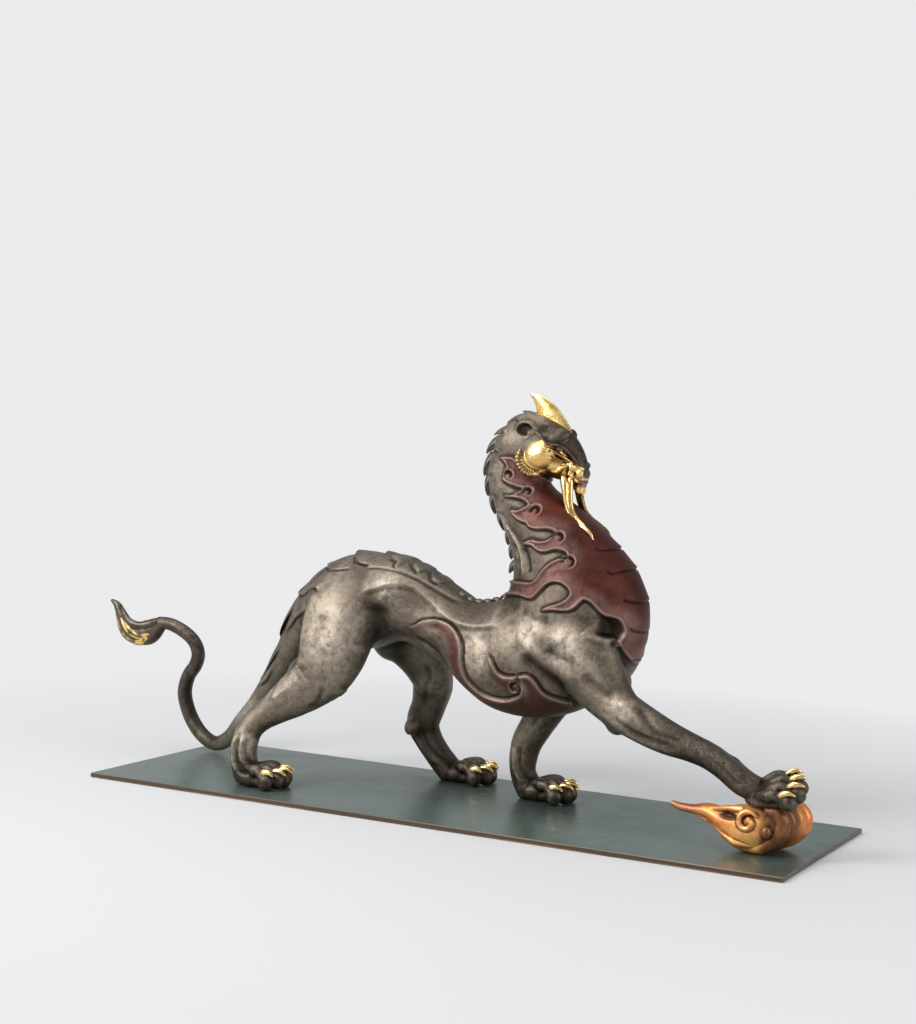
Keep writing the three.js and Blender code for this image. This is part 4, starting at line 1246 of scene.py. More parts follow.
claw_template = template_from("claw", claw())
claw_rows = []
for paw in PAWS:
    for across, forward in TOES:
        spots = turned([[forward + 3, across * 1.07, 14.2], [forward + 13, across * 1.18, 15.2],
                        [forward + 3, across * 1.07, 24.2]], paw)
        claw_rows.append((spots[0], spots[1] - spots[0], spots[2] - spots[0], 0.92, 0.86, 0.9))
claws = copies("pixiu_claws", claw_template, claw_rows)

# %% [markdown]
# The face is gilded: a smooth round cheek in a scalloped frill, folds of skin that run from the brow
# to the nostril, and rolled lips over a chin. It is modelled as one finer skin over the front of the
# head so that the small folds stay crisp, and the brow above it stays bare bronze.

# %% Outlines of the face
HEAD_SMOOTH = smooth_rows(HEAD, 6)
GOLD_FIELD = [
    [43, 292.5], [46, 295], [48.5, 295.6], [57.7, 297], [63, 297], [67, 294], [70, 292.4], [76, 292.2],
    [80, 290.4], [85, 286], [89.5, 280], [92, 277], [95, 275.6], [95.6, 268.4], [98, 266.6], [98, 252],
    [90, 252], [80, 262], [70, 266], [62, 266], [55, 264.5], [48, 267], [41.5, 273], [38, 283], [38, 291],
]
# Dark gaps in the muzzle: depth, width, points
MUZZLE_GAPS = [
    [0.8, 1.1, [[83.6, 275.6], [82.6, 272], [83.2, 267.6]]],
    [0.8, 1.0, [[89.0, 272], [88.8, 268.6], [88.2, 262]]],
    [1.2, 0.6, [[88.4, 262.6], [92, 262.2], [96, 263]]],
    [0.9, 0.6, [[76.4, 290.6], [80, 288.6], [85, 284.8], [88.6, 281]]],
    [0.8, 0.6, [[72.6, 284], [77, 281.4], [83, 279.6]]],
]
# Eggs on each side: x, y from the middle, z, three radii, lean, points around and down
FACE_EGGS = [
    [61.4, 12.2, 284.8, 14.0, 10.6, 12.8, -14, 52, 30], [56.6, 12.4, 281.0, 14.6, 7.6, 13.5, -6, 56, 28],
    [70, 9.4, 279.0, 12, 7.6, 8.2, 12, 40, 20], [69, 6.4, 296.2, *BROW_RADII, BROW_LEAN, 40, 22],
    [80.6, 11.6, 287.2, 3.6, 1.8, 1.7, 28, 18, 12], [86.2, 8.4, 276.4, 2.7, 3.4, 4.6, 10, 20, 14],
    [91.8, 5.6, 271.6, 4.2, 3.2, 4.4, -30, 28, 16],
]
# Folds on each side: x, z, lift off the head, half height, half thickness
FOLDS = [
    [[57, 303, -0.6, 1.2, 1.2], [62, 299.4, 0.3, 1.5, 1.4], [66.4, 295, 0.8, 1.4, 1.4],
     [71, 293, 1.2, 1.4, 1.5], [77, 292.4, 1.3, 1.5, 1.6], [83, 289.2, 1.2, 1.5, 1.5],
     [88, 283.6, 0.8, 1.3, 1.3], [92, 278.6, 0.2, 0.9, 0.9]],
    [[71, 289.6, 0.6, 1.0, 1.4], [74, 288.0, 1.2, 1.2, 1.4], [79, 285.0, 1.2, 1.2, 1.4],
     [84, 282.6, 1.0, 1.1, 1.2], [88, 279.8, 0.6, 0.8, 0.8]],
    [[70, 284.6, 1.8, 1.5, 1.6], [75, 282.6, 2.0, 1.6, 1.8], [80, 280, 1.6, 1.3, 1.6]],
    [[72, 273.0, 2.4, 1.8, 1.8], [76, 272.6, 2.7, 2.0, 2.0], [79, 274.8, 2.8, 1.7, 1.8],
     [82.4, 277.0, 2.2, 0.8, 0.8]],
    [[84.6, 272, 1.0, 1.6, 1.6], [87.6, 268.6, 1.0, 1.7, 1.6], [90.6, 265.4, 0.9, 1.4, 1.4],
     [94, 264.6, 0.4, 1.0, 1.0]],
]
# Nose tip and chin, on the middle plane
MIDDLE_EGGS = [[95.0, 0, 278.0, 3.3, 2.8, 3.0, 0, 20, 12], [90.6, 0, 258.6, 4.7, 5.4, 4.8, 0, 28, 16]]
SCALLOPS = 11
print(len(FACE_EGGS), "eggs,", len(FOLDS), "folds and", SCALLOPS, "scallops on each side of the face")

# %% Parts of the face
def head_side(x_place, z_place):
    """How far the head reaches sideways at a place on its flank"""
    top, bottom, half = [np.interp(x_place, HEAD_SMOOTH[:, 0], HEAD_SMOOTH[:, k]) for k in (1, 2, 3)]
    u = (z_place - (top + bottom) / 2) / ((top - bottom) / 2)
    return half * math.sqrt(max(1 - u * u, 0.0))


def fold(side, rows):
    """A fold of skin on the head's flank, from a row of FOLDS"""
    path = [[fold_x, MIDDLE + side * (head_side(fold_x, fold_z) + lift_out), fold_z, half, thick]
            for fold_x, fold_z, lift_out, half, thick in rows]
    return limb(path, 5, 14, 1.0)


def egg_of(side, row):
    x, y, z, rx, ry, rz, lean, around, down = row
    return ball([x, MIDDLE + side * y, z], [rx, ry, rz], lean, around, down)


def scallop(side, i):
    """One lobe of the frill: they grow, then shrink a little, and every other one is smaller"""
    turn = math.radians(152 + i * 13.2)
    wide = min(2.2 + 0.5 * i, 3.1 - 0.08 * i) + 0.25 * (-1) ** i
    place = [56.6 + 12.8 * math.cos(turn), MIDDLE + side * 15.8, 281.2 + 11.8 * math.sin(turn)]
    return ball(place, [wide, 3.6, wide], 0, 18, 10)


# The front of the head again, sunk at its rear edge so that it rises out of the body's skin.
FRONT = [[x_row, top - sink, bottom + sink, half - sink] for (x_row, top, bottom, half), sink in
         zip(HEAD[4:], [1.6, 0.1, 0, 0, 0, 0, 0])]
face_parts = [slices_across(FRONT, 6)]
for side in (-1, 1):
    face_parts += [egg_of(side, row) for row in FACE_EGGS]
    face_parts += [scallop(side, i) for i in range(SCALLOPS)]
    face_parts += [fold(side, rows) for rows in FOLDS]
face_parts += [egg_of(1, row) for row in MIDDLE_EGGS]
face = clay("pixiu_face", face_parts, FINE_GRAIN)
soften(face, 4)

# %% Fine cuts of the face
points = points_of(face)
x, y, z = points.T
side_of = np.sign(y - MIDDLE)
aside = np.abs(y - MIDDLE)
rho = np.hypot((x - 56.6) / 14.8, (z - 281.0) / 13.6)
angle = np.arctan2(z - 281.0, x - 56.6)
egg = np.hypot((x - 61.2) / 13.1, (z - 285.2) / 12.2)
outer_cheek = step(aside, 11, 13) * step(-x, -66, -58) * step(-z, -295, -290)
band = step(egg, 1.0, 1.08) * step(-rho, -1.12, -1.02) * outer_cheek
flutes = 0.3 * np.cos(angle * 27) * band
ring_groove = -1.1 * np.exp(-((egg - 1.03) * 12 / 0.8) ** 2) * outer_cheek
gold_depth = outline_depth(x, z, smooth_outline(GOLD_FIELD))
brow_cut = -0.9 * bell(gold_depth, 1.0, 1.0) * step(x, 66, 70) * step(z, 276, 280)
points += normals_of(face) * (flutes + ring_groove + brow_cut)[:, None]
gap_shade = np.zeros(len(points))
for depth, width, line in MUZZLE_GAPS:
    drawn = smooth_rows([[gap_x, MIDDLE, gap_z] for gap_x, gap_z in line], 4)
    away = distance_to_line(points, drawn, 0.0)[0]
    cut = bell(away, 0, width) * step(np.abs(y - MIDDLE), 2, 4)
    points[:, 1] -= side_of * depth * cut
    gap_shade = np.maximum(gap_shade, cut)
eyelet = np.linalg.norm((points - [71.2, MIDDLE, 288.4]) * [1 / 1.5, 0, 1 / 1.2], axis=1)
points[:, 1] -= side_of * 1.6 * step(-eyelet, -1, -0.3) * (np.abs(y - MIDDLE) > 6)
points[:, 1] -= side_of * 1.5 * eye_hollow(points)
pull_in_muzzle(points)
move(face, points)
print("frill, gaps and eyelet are cut")

# %% Masks of the face
mouth = np.linalg.norm((points - [94.4, MIDDLE, 265.2]) * [1 / 3.2, 0.05, 1 / 1.5], axis=1)
mouth_red = step(-mouth, -1.1, -0.8)
# The sunk band inside the frill is painted darker as painted shade
frill_shade = 0.7 * band * step(-rho, -0.99, -0.90)
fold_brown = 0.75 * step(x, 70, 74) * step(-x, -84, -80) * step(z, 277, 281)
pale = np.linalg.norm((points - [56.5, MIDDLE, 289]) / [11, 60, 9], axis=1)
write(face, "gold", step(gold_depth, -0.3, 0.3) * (1 - mouth_red))
write(face, "red", mouth_red)
# Painted shade in the muzzle's gaps and in the eyelet
write(face, "line", np.maximum(gap_shade, step(-eyelet, -1.1, -0.7)))
# Painted shade in the frill's band and the gaps, and brown on the folds
write(face, "deep", np.max([frill_shade, fold_brown, gap_shade], 0))
# Painted highlight on the upper cheek
write(face, "worn", step(-pale, -1.2, -0.2))
write(face, "low", 0.75 * step(x, 50, 62))
print("masks: gold, red, line, deep, worn and low")

# %% Beard
# On each side two strands hang from the lip, close together, and run down the breast as one:
# [x, y from the middle, z, half depth, half width]
BEARD_OUTER = [
    [79.6, 8.6, 269, 2.6, 2.6], [81.6, 10.6, 263.6, 3.3, 2.9], [83.2, 11.8, 257, 2.7, 2.5],
    [84.4, 12.4, 250, 2.1, 2.1], [87, 13.0, 243, 2.0, 2.0], [91.6, 14.0, 236.6, 1.9, 1.9],
    [97.6, 15.0, 232.4, 1.8, 1.8], [103.4, 16.2, 229.6, 1.8, 1.7], [108.2, 16.8, 226, 1.4, 1.4],
    [111, 17, 220.6, 0.6, 0.6],
]
BEARD_INNER = [
    [85.4, 7.6, 268, 2.2, 2.2], [86.2, 9.0, 262, 2.2, 2.1], [87.0, 10.4, 255, 1.9, 1.8],
    [88.2, 11.2, 248, 1.7, 1.7], [90.8, 12.2, 241.6, 1.6, 1.6], [95.4, 13.6, 236.4, 1.5, 1.5],
    [100.8, 15.0, 232.8, 1.2, 1.2], [105, 16, 230, 0.7, 0.7],
]
beard_parts = []
for side in (-1, 1):
    for strand in (BEARD_OUTER, BEARD_INNER):
        rows = [[row_x, MIDDLE + side * row_y, *rest] for row_x, row_y, *rest in strand]
        beard_parts.append(limb(rows, 8, 18, 1.0))
beard = clay("pixiu_beard", beard_parts, FINE_GRAIN)
soften(beard, 2)
shade = step(points_of(beard)[:, 1], MIDDLE - 2, MIDDLE + 4)
# The strands on the far side are painted darker as painted shade
write(beard, "deep", 0.85 * shade)

# %% [markdown]
# The tail ends in a tuft shaped like a small flame, dark bronze with wavy gilded streaks. The flame
# is the end of the tail's own path, with two smaller tongues pressed against it.

# %% Tail tuft
# Two smaller tongues beside the flame: [x, y, z, half depth, half width]
TONGUES = [
    [[-331, 30.5, 118, 2.6, 2.4], [-340, 27, 114.5, 3.6, 3.0], [-350, 25.4, 113.4, 3.6, 3.0],
     [-359, 25, 117, 3.0, 2.6], [-364, 25, 123.4, 1.9, 1.8], [-366.6, 25, 129.4, 0.7, 0.7]],
    [[-336, 34, 108, 3.0, 3.2], [-344, 33, 100.4, 3.6, 3.8], [-353, 32, 97.6, 3.4, 3.6],
     [-362, 31, 101, 3.0, 3.0], [-369, 30, 109, 2.2, 2.2], [-373.4, 29.4, 118, 1.2, 1.2],
     [-377, 29, 124, 0.6, 0.6]],
]
tuft_parts = [limb(TAIL_FLAME, 6, 28, 1.2)]
tuft_parts += [limb(rows, 6, 16, 0.8) for rows in TONGUES]
tuft = clay("pixiu_tail_tuft", tuft_parts, 0.6)
soften(tuft, 3)

# %% Gilded streaks of the tuft
# Streaks that run along the tuft: half width, points [x, z]
STREAKS = [
    [1.3, [[-374.6, 124], [-371.4, 114], [-365, 105], [-356, 99], [-345, 97.4]]],
    [1.0, [[-362, 115.4], [-355, 108.6], [-346, 105], [-337, 106.4]]],
    [2.2, [[-353, 97.8], [-346, 98.4], [-340, 102.6]]],
    [0.7, [[-367, 118], [-362, 110], [-353, 103.4], [-343, 101.4]]],
]
points = points_of(tuft)
streak = np.zeros(len(points))
for width, line in STREAKS:
    drawn = smooth_rows([[streak_x, 30, streak_z] for streak_x, streak_z in line], 4)
    away = distance_to_line(points, drawn, 0.0)[0]
    streak = np.maximum(streak, step(-away, -width - 0.3, -width + 0.4))
write(tuft, "streak", streak)
print(len(STREAKS), "streaks")

# %% [markdown]
# The cloud is a scroll: a wisp sweeps in from the tail side, swells into a body, and ribbed rolls
# fan over its far end. A hooked curl and a bud stand on its near face.

# %% Parts of the cloud
CLOUD_BODY = [
    [192.5, -36, 32.5, 2.0, 2.2], [200, -36, 30.4, 3.0, 3.2], [210, -36, 30, 3.6, 4.5],
    [221, -36, 30, 6.0, 7], [231, -36, 26.5, 8.8, 10], [242, -36.5, 23.5, 15.0, 12.6],
    [254, -36, 21.5, 18, 14.2], [264, -34, 23, 16.5, 15.5], [273, -31, 26, 12.5, 15], [280, -28, 29, 8, 12],
]
ROLLS = 4
CURL_POINTS = 30
# Flutes along the wisp: one above its dark valley, and one that sweeps to the foot
FLUTES = [
    [[252, -46, 36.6, 2.4, 2.6], [240, -44.5, 36, 2.2, 2.4], [228, -41, 33.5, 1.9, 2.0],
     [214, -38, 32, 1.5, 1.7], [200, -37, 32, 1.0, 1.2]],
    [[258, -47.0, 10.5, 0.9, 0.9], [252, -47.6, 11.6, 1.8, 1.9], [246, -47.6, 12.6, 2.2, 2.2],
     [236, -45.2, 17.4, 1.8, 2.0], [225, -41.4, 23.4, 1.4, 1.6], [212, -38.4, 27.6, 1.0, 1.2]],
]


def cloud_roll(i):
    """One ribbed roll, each further back and further along than the last"""
    along = 2.2 * i
    across = -41 + i * 10.2
    rows = [[252 + along, across + 1, 10, 5, 5], [266 + along, across, 11.5, 6.4, 6.2],
            [276 + along, across, 19, 6.8, 6.4], [280 + along, across, 28, 6.4, 6.0],
            [276 + along, across, 35, 5.6, 5.4], [268 + along, across, 37.5, 4.0, 4.4]]
    return limb(rows, 6, 20, 3)


def cloud_curl():
    """The hooked curl winds a little over one turn and narrows inwards"""
    path = []
    for i in range(CURL_POINTS):
        share = i / (CURL_POINTS - 1)
        turn = math.radians(35 + 400 * share)
        radius = 8.4 - 6.2 * share
        path.append([256 + radius * math.cos(turn), -48.6 - 2.2 * share, 28.6 + radius * math.sin(turn),
                     (2.5 - 0.5 * share) * min(1.0, 0.3 + 5 * share), 3.2])
    return limb(path, 2, 16, 1)


print(ROLLS, "rolls,", len(FLUTES), "flutes, a curl and a bud")

# %% Cloud
cloud_parts = [limb(CLOUD_BODY, 6, 40, 1), *[cloud_roll(i) for i in range(ROLLS)], cloud_curl()]
cloud_parts.append(ball([270.6, -48.6, 22.6], [4.0, 3.6, 4.8], 0, 20, 12))
cloud_parts += [limb(flute, 6, 12, 0.6) for flute in FLUTES]
cloud = clay("cloud", cloud_parts, 0.55)
soften(cloud, 2)
points = points_of(cloud)
hollow_at = np.linalg.norm((points - [240.5, -50, 30.6]) / [9.0, 12, 3.6], axis=1)
points[:, 1] += 3.0 * step(-hollow_at, -1.0, -0.2)
points[:, 2] = np.clip(points[:, 2], PLATE_TOP + 0.02, CLOUD_TOP - 0.02)
move(cloud, points)
soften(cloud, 1)
shaded_end = step(points[:, 0], 261, 270) * step(-points[:, 1], 18, 30) * 0.95
# Painted shade in the pressed hollow and on the shaded end of the rolls
write(cloud, "deep", np.maximum(step(-hollow_at, -1.3, -0.8), shaded_end))
# Painted highlight on the cloud's near face
write(cloud, "worn", step(points[:, 0], 236, 250) * step(-points[:, 0], -272, -262))
write(cloud, "low", step(-points[:, 0], -226, -206))

# %% [markdown]
# The plate is a thin sheet with softly broken edges. Its top is patinated dark green, and the
# patina has worn to brass along the rim.

# %% Plate
BREAK = 0.5
SIDE_RINGS = 4


def edge_places(low, high, count):
    """Places along one side: both ends, and between the broken edges an even row"""
    return np.concatenate([[low], np.linspace(low + BREAK, high - BREAK, count), [high]])


def sheet(low, high):
    """A box with broken edges, a fine grid on its faces and a few rings round its sides"""
    xs = edge_places(low[0], high[0], 120)
    ys = edge_places(low[1], high[1], 40)
    top = []
    for yy in ys:
        for xx in xs:
            rim = xx in (xs[0], xs[-1]) or yy in (ys[0], ys[-1])
            top.append([xx, yy, high[2] - (BREAK if rim else 0)])
    top = np.array(top)
    bottom = top.copy()
    bottom[:, 2] = low[2] + (high[2] - top[:, 2])
    n = len(xs)
    m = len(ys)
    count = len(top)
    faces = []
    for j in range(m - 1):
        for i in range(n - 1):
            a = j * n + i
            faces.append((a, a + 1, a + n + 1, a + n))
            faces.append((count + a, count + a + n, count + a + n + 1, count + a + 1))
    rim = list(range(n)) + [j * n + n - 1 for j in range(1, m)]
    rim += [(m - 1) * n + i for i in range(n - 2, -1, -1)] + [j * n for j in range(m - 2, 0, -1)]
    levels = [rim]
    sides = []
    for k in range(SIDE_RINGS):
        share = (k + 1) / (SIDE_RINGS + 1)
        ring = top[rim] * (1 - share) + bottom[rim] * share
        levels.append([2 * count + len(rim) * k + i for i in range(len(rim))])
        sides.append(ring)
    levels.append([count + i for i in rim])
    for upper, under in zip(levels, levels[1:]):
        for i in range(len(rim)):
            k = (i + 1) % len(rim)
            faces.append((upper[i], under[i], under[k], upper[k]))
    return turned_out(np.vstack([top, bottom, *sides]), faces)


plate = object_from("plate", *sheet(PLATE_LOW, PLATE_HIGH))
print("plate", np.round(PLATE_HIGH - PLATE_LOW, 2), "mm")

# %% [markdown]
# Every skin first gets its hollows and ridges written down for the finishes: they paint the hollows
# dark as painted shade, and the ridges pale, partly as rubbed metal and partly as painted highlight.

# %% Hollows and ridges of every piece
BROAD_PASSES = 60


def broad_hollows(thing, reach):
    """How far each point lies below the skin's own broad form, as a share of `reach` millimetres"""
    edges = edges_of(thing)
    points = points_of(thing)
    smooth = points.copy()
    for _ in range(BROAD_PASSES):
        smooth = 0.5 * smooth + 0.5 * neighbour_mean(edges, smooth)
    below = ((smooth - points) * normals_of(thing)).sum(1)
    return np.clip(below / reach, 0, 1), np.clip(-below / reach, 0, 1)


SCALES = [nape_plates, back_plates, tail_plates]
PIECES = [figure, horn, *SCALES, hooks, claws, face, beard, tuft, cloud]
for thing in PIECES:
    small = thing in (hooks, claws, *SCALES)
    hollow, ridge = hollows_and_ridges(thing, 1 if small else 3)
    if not small:
        deep_hollow, high_ridge = broad_hollows(thing, 1.2 if thing is figure else 0.9)
        hollow = np.maximum(0.7 * hollow, deep_hollow)
        ridge = np.maximum(0.6 * ridge, 0.8 * high_ridge)
    # Down-facing skin, which the gilding's finish paints darker as painted shade
    write(thing, "under", step(-normals_of(thing)[:, 2], -0.1, 0.9))
    # How deep each point lies in a crease, for painted shade
    write(thing, "hollow", hollow)
    # How much each point lies on a ridge, for paint that is partly rubbed metal and partly painted highlight
    write(thing, "ridge", ridge)
    thing.data.polygons.foreach_set("use_smooth", np.ones(len(thing.data.polygons), bool))
print(len(PIECES), "pieces have hollows and ridges")

# %% Painted highlights and painted shade in the valleys of the beast
# Spots of painted highlight: x, y, z, radius
HIGHLIGHT_SPOTS = [
    [-104, -46, 132, 38], [66, -42, 150, 26], [100, -44, 142, 24], [22, -36, 128, 26],
    [-172, -56, 36, 22], [-20, -32, 152, 18], [150, -46, 98, 18], [-138, -46, 92, 18], [-225, 27, 50, 26],
    [30, -16, 232, 14], [-60, -30, 172, 18], [-150, -48, 80, 14],
]
points = points_of(figure)
worn = np.zeros(len(points))
for *place, radius in HIGHLIGHT_SPOTS:
    away = np.linalg.norm(points - place, axis=1)
    worn = np.maximum(worn, step(-away, -radius, -0.2 * radius))
write(figure, "worn", worn)
# Painted shade in the valleys between the muscles: share, half width, points x and z
SHADED_VALLEYS = [
    [0.75, 10, [[-60, 164], [-66, 154], [-68, 142], [-71, 130], [-78, 114]]],
    [0.5, 6, [[62, 136], [70, 130], [80, 121], [92, 112], [106, 105]]],
    [0.5, 7, [[116, 146], [124, 141], [134, 132], [146, 118]]],
    [0.45, 5, [[-132, 160], [-137, 140], [-136, 118], [-140, 100]]],
]
shaded_valleys = np.zeros(len(points))
for darkness, half, line in SHADED_VALLEYS:
    away = side_distance(points[:, 0], points[:, 2], line)[0]
    shaded_valleys = np.maximum(shaded_valleys, darkness * bell(away, 0, half))
red_at = np.zeros(len(points))
figure.data.attributes["red"].data.foreach_get("value", red_at)
shaded_valleys *= (1 - red_at) * step(np.abs(points[:, 1] - MIDDLE), 8, 14)
low_leg = step(-points[:, 2], -42, -14) * step(points[:, 0], -205, -190)
fore = 0.85 * step(points[:, 0], 152, 205) * step(points[:, 2], 20, 40)
crown = 0.6 * step(points[:, 2], 294, 304) * step(points[:, 0], 55, 68)
upper_tail = 0.85 * step(-points[:, 0], 262, 290)
# Paws, forearm, crown and upper tail are darker in tone, and the valleys take painted shade in the same mask
write(figure, "low", np.max([low_leg, fore, crown, upper_tail, shaded_valleys], 0))
print(len(HIGHLIGHT_SPOTS), "worn places and", len(SHADED_VALLEYS), "shaded_valleys")

# %% [markdown]
# A finish is a small tree of nodes. The helper class keeps the trees short: noises, spans, mixes and
# masks. Noises are laid out in the piece's own Object coordinates, so nothing slides when it moves,
# and the masks are the ones that the carving left on the points.

# %% Helpers for finishes
class Finish:
    """One material and the helpers that add nodes to its tree"""

    def __init__(self, name):
        self.material = bpy.data.materials.new(name)
        self.material.use_nodes = True
        self.tree = self.material.node_tree
        self.shader = self.tree.nodes["Principled BSDF"]
        self.place = self.tree.nodes.new("ShaderNodeTexCoord").outputs["Object"]

    def node(self, kind, output, inputs, **settings):
        """A node with its settings and its inputs, each a value or another node's output"""
        made = self.tree.nodes.new(kind)
        for name, value in settings.items():
            setattr(made, name, value)
        for name, value in inputs.items():
            self.put(made.inputs[name], value)
        return made.outputs[output]

    def put(self, socket, value):
        if hasattr(value, "is_output"):
            self.tree.links.new(value, socket)
        elif isinstance(value, tuple) and len(value) == 3 and socket.type == "RGBA":
            socket.default_value = (*value, 1.0)
        else:
            socket.default_value = value

    def noise(self, scale, detail=4.0, rough=0.55, warp=0.0, stretch=None):
        where = self.place
        if stretch is not None:
            inputs = {0: self.place, 1: stretch}
            where = self.node("ShaderNodeVectorMath", "Vector", inputs, operation="MULTIPLY")
        return self.node("ShaderNodeTexNoise", "Fac", {
            "Vector": where, "Scale": scale, "Detail": detail, "Roughness": rough, "Distortion": warp})

    def mask(self, name):
        return self.node("ShaderNodeAttribute", "Fac", {}, attribute_name=name)

    def span(self, value, low, high, to_low=0.0, to_high=1.0):
        """Stretches the values from low to high over the given range, and holds the rest at its ends"""
        return self.node("ShaderNodeMapRange", "Result", {
            "Value": value, "From Min": low, "From Max": high, "To Min": to_low, "To Max": to_high})

    def times(self, first, second):
        return self.node("ShaderNodeMath", "Value", {0: first, 1: second}, operation="MULTIPLY")

    def plus(self, first, second, operation="ADD"):
        inputs = {0: first, 1: second}
        return self.node("ShaderNodeMath", "Value", inputs, operation=operation, use_clamp=True)

    def minus(self, first, second):
        return self.plus(first, second, "SUBTRACT")

    def mix(self, share, first, second):
        inputs = {"Factor": share, "A": first, "B": second}
        return self.node("ShaderNodeMix", "Result", inputs, data_type="RGBA")

    def bump(self, height, distance, strength=1.0, under=None):
        inputs = {"Distance": distance, "Strength": strength, "Height": height}
        if under is not None:
            inputs["Normal"] = under
        return self.node("ShaderNodeBump", "Normal", inputs)

    def done(self, color, roughness, metallic, normal=None):
        self.put(self.shader.inputs["Base Color"], color)
        self.put(self.shader.inputs["Roughness"], roughness)
        self.put(self.shader.inputs["Metallic"], metallic)
        if normal is not None:
            self.put(self.shader.inputs["Normal"], normal)
        return self.material


def dress(thing, material):
    thing.data.materials.clear()
    thing.data.materials.append(material)


print("a finish can be mixed")

# %% [markdown]
# The hide is brown-grey bronze: mottled, darker on the paws, with painted shade in the creases and
# painted highlights on haunch and shoulder. The mantle carries a dull red patina that deepens from
# its pale brown tongues to the breast, and the face is gilded over the same metal, so one finish
# holds all three.

# %% Layers of bronze and gilding
def hide_layers(f, broad):
    """Colour of the bare bronze"""
    blotch = f.noise(215, 8, 0.72, 0.3)
    grain = f.noise(1000, 4, 0.62)
    color = f.mix(f.span(broad, 0.34, 0.66), (0.055, 0.040, 0.0275), (0.102, 0.078, 0.056))
    color = f.mix(f.span(blotch, 0.36, 0.72, 0.0, 0.75), color, (0.192, 0.156, 0.119))
    color = f.mix(f.span(grain, 0.50, 0.70, 0.0, 0.6), color, (0.032, 0.024, 0.018))
    color = f.mix(f.span(grain, 0.46, 0.30, 0.0, 0.4), color, (0.250, 0.206, 0.158))
    # Ridges painted pale: partly rubbed bronze and partly painted highlight
    rub = f.times(f.mask("ridge"), f.span(blotch, 0.32, 0.6, 0.2, 0.7))
    color = f.mix(rub, color, (0.385, 0.322, 0.252))
    return color, blotch, grain


def gold_layers(f, blotch):
    """Colour of the gilding: orange where it is thin, pale on its heights as rubbed gold and painted
    highlight, brown in its dark folds, and painted shade in its creases and on its undersides
    """
    color = f.mix(f.span(blotch, 0.36, 0.66), (0.76, 0.44, 0.12), (0.93, 0.66, 0.28))
    color = f.mix(f.span(blotch, 0.60, 0.82, 0.0, 0.6), color, (0.46, 0.17, 0.04))
    # Painted highlight on the cheek
    color = f.mix(f.times(f.mask("worn"), 0.6), color, (1.0, 0.84, 0.52))
    # Ridges painted pale: partly rubbed gold and partly painted highlight
    color = f.mix(f.times(f.mask("ridge"), 0.5), color, (1.0, 0.84, 0.50))
    # Painted shade on the undersides
    color = f.mix(f.times(f.mask("under"), 0.6), color, (0.30, 0.13, 0.03))
    # Brown in the dark folds of the face, and painted shade in its gaps and frill band, in the horn's notches
    # and on the far beard
    color = f.mix(f.mask("deep"), color, (0.15, 0.078, 0.022))
    # Painted shade in the creases
    return f.mix(f.span(f.mask("hollow"), 0.1, 0.8, 0.0, 0.92), color, (0.060, 0.026, 0.010))


print("bronze and gilding have their layers")

# %% Finish of hide, mantle and face
def red_layers(f, broad, blotch):
    """Colour of the red patina: pale on the tongues, deep on the breast"""
    pale = f.mix(f.span(blotch, 0.38, 0.62), (0.115, 0.052, 0.043), (0.205, 0.108, 0.090))
    strong = f.mix(f.span(broad, 0.36, 0.64), (0.038, 0.007, 0.0045), (0.112, 0.020, 0.010))
    strong = f.mix(f.span(blotch, 0.48, 0.8, 0.0, 0.5), strong, (0.135, 0.030, 0.018))
    coat = f.mix(f.mask("deep"), pale, strong)
    # Ridges painted pale: partly rubbed bronze and partly painted highlight
    rub = f.times(f.mask("ridge"), f.span(f.mask("deep"), 0, 1, 0.4, 0.05))
    return f.mix(rub, coat, (0.30, 0.17, 0.135))


def statue_finish():
    f = Finish("hide")
    broad = f.noise(26, 6, 0.62, 0.8)
    color, blotch, grain = hide_layers(f, broad)
    # Spots of painted highlight on the haunch, shoulder and other lit places
    highlight_share = f.times(f.mask("worn"), f.span(blotch, 0.34, 0.62, 0.15, 0.85))
    color = f.mix(highlight_share, color, (0.54, 0.46, 0.37))
    # Darker paws, forearm, crown and upper tail, and painted shade in the valleys between the muscles
    dark = f.times(f.mask("low"), f.span(blotch, 0.3, 0.7, 0.92, 0.6))
    color = f.mix(dark, color, (0.027, 0.020, 0.015))
    red = f.mask("red")
    cover = f.times(red, f.span(grain, 0.5, 0.72, 1.0, 0.90))
    color = f.mix(cover, color, red_layers(f, broad, blotch))
    # Raised rims painted pale: partly rubbed bronze and partly painted highlight
    rim = f.mix(red, (0.36, 0.31, 0.255), (0.40, 0.27, 0.22))
    color = f.mix(f.times(f.mask("lip"), 0.52), color, rim)
    # Painted shade in the cuts, grooves, curl hollows and the pocket
    color = f.mix(f.times(f.mask("line"), 0.85), color, (0.012, 0.009, 0.007))
    # Painted shade in the creases
    color = f.mix(f.times(f.mask("hollow"), 0.86), color, (0.015, 0.011, 0.008))
    gold = f.mask("gold")
    color = f.mix(gold, color, gold_layers(f, blotch))
    bare_rough = f.span(blotch, 0.3, 0.7, 0.38, 0.56)
    rough = f.minus(bare_rough, f.times(gold, 0.18))
    rough = f.minus(rough, f.times(f.mask("low"), 0.09))
    metal = f.minus(0.88, f.times(red, 0.12))
    metal = f.plus(metal, f.times(gold, 0.2))
    normal = f.bump(grain, 0.00020, 0.8)
    normal = f.bump(blotch, 0.0009, 0.6, normal)
    return f.done(color, rough, metal, normal)


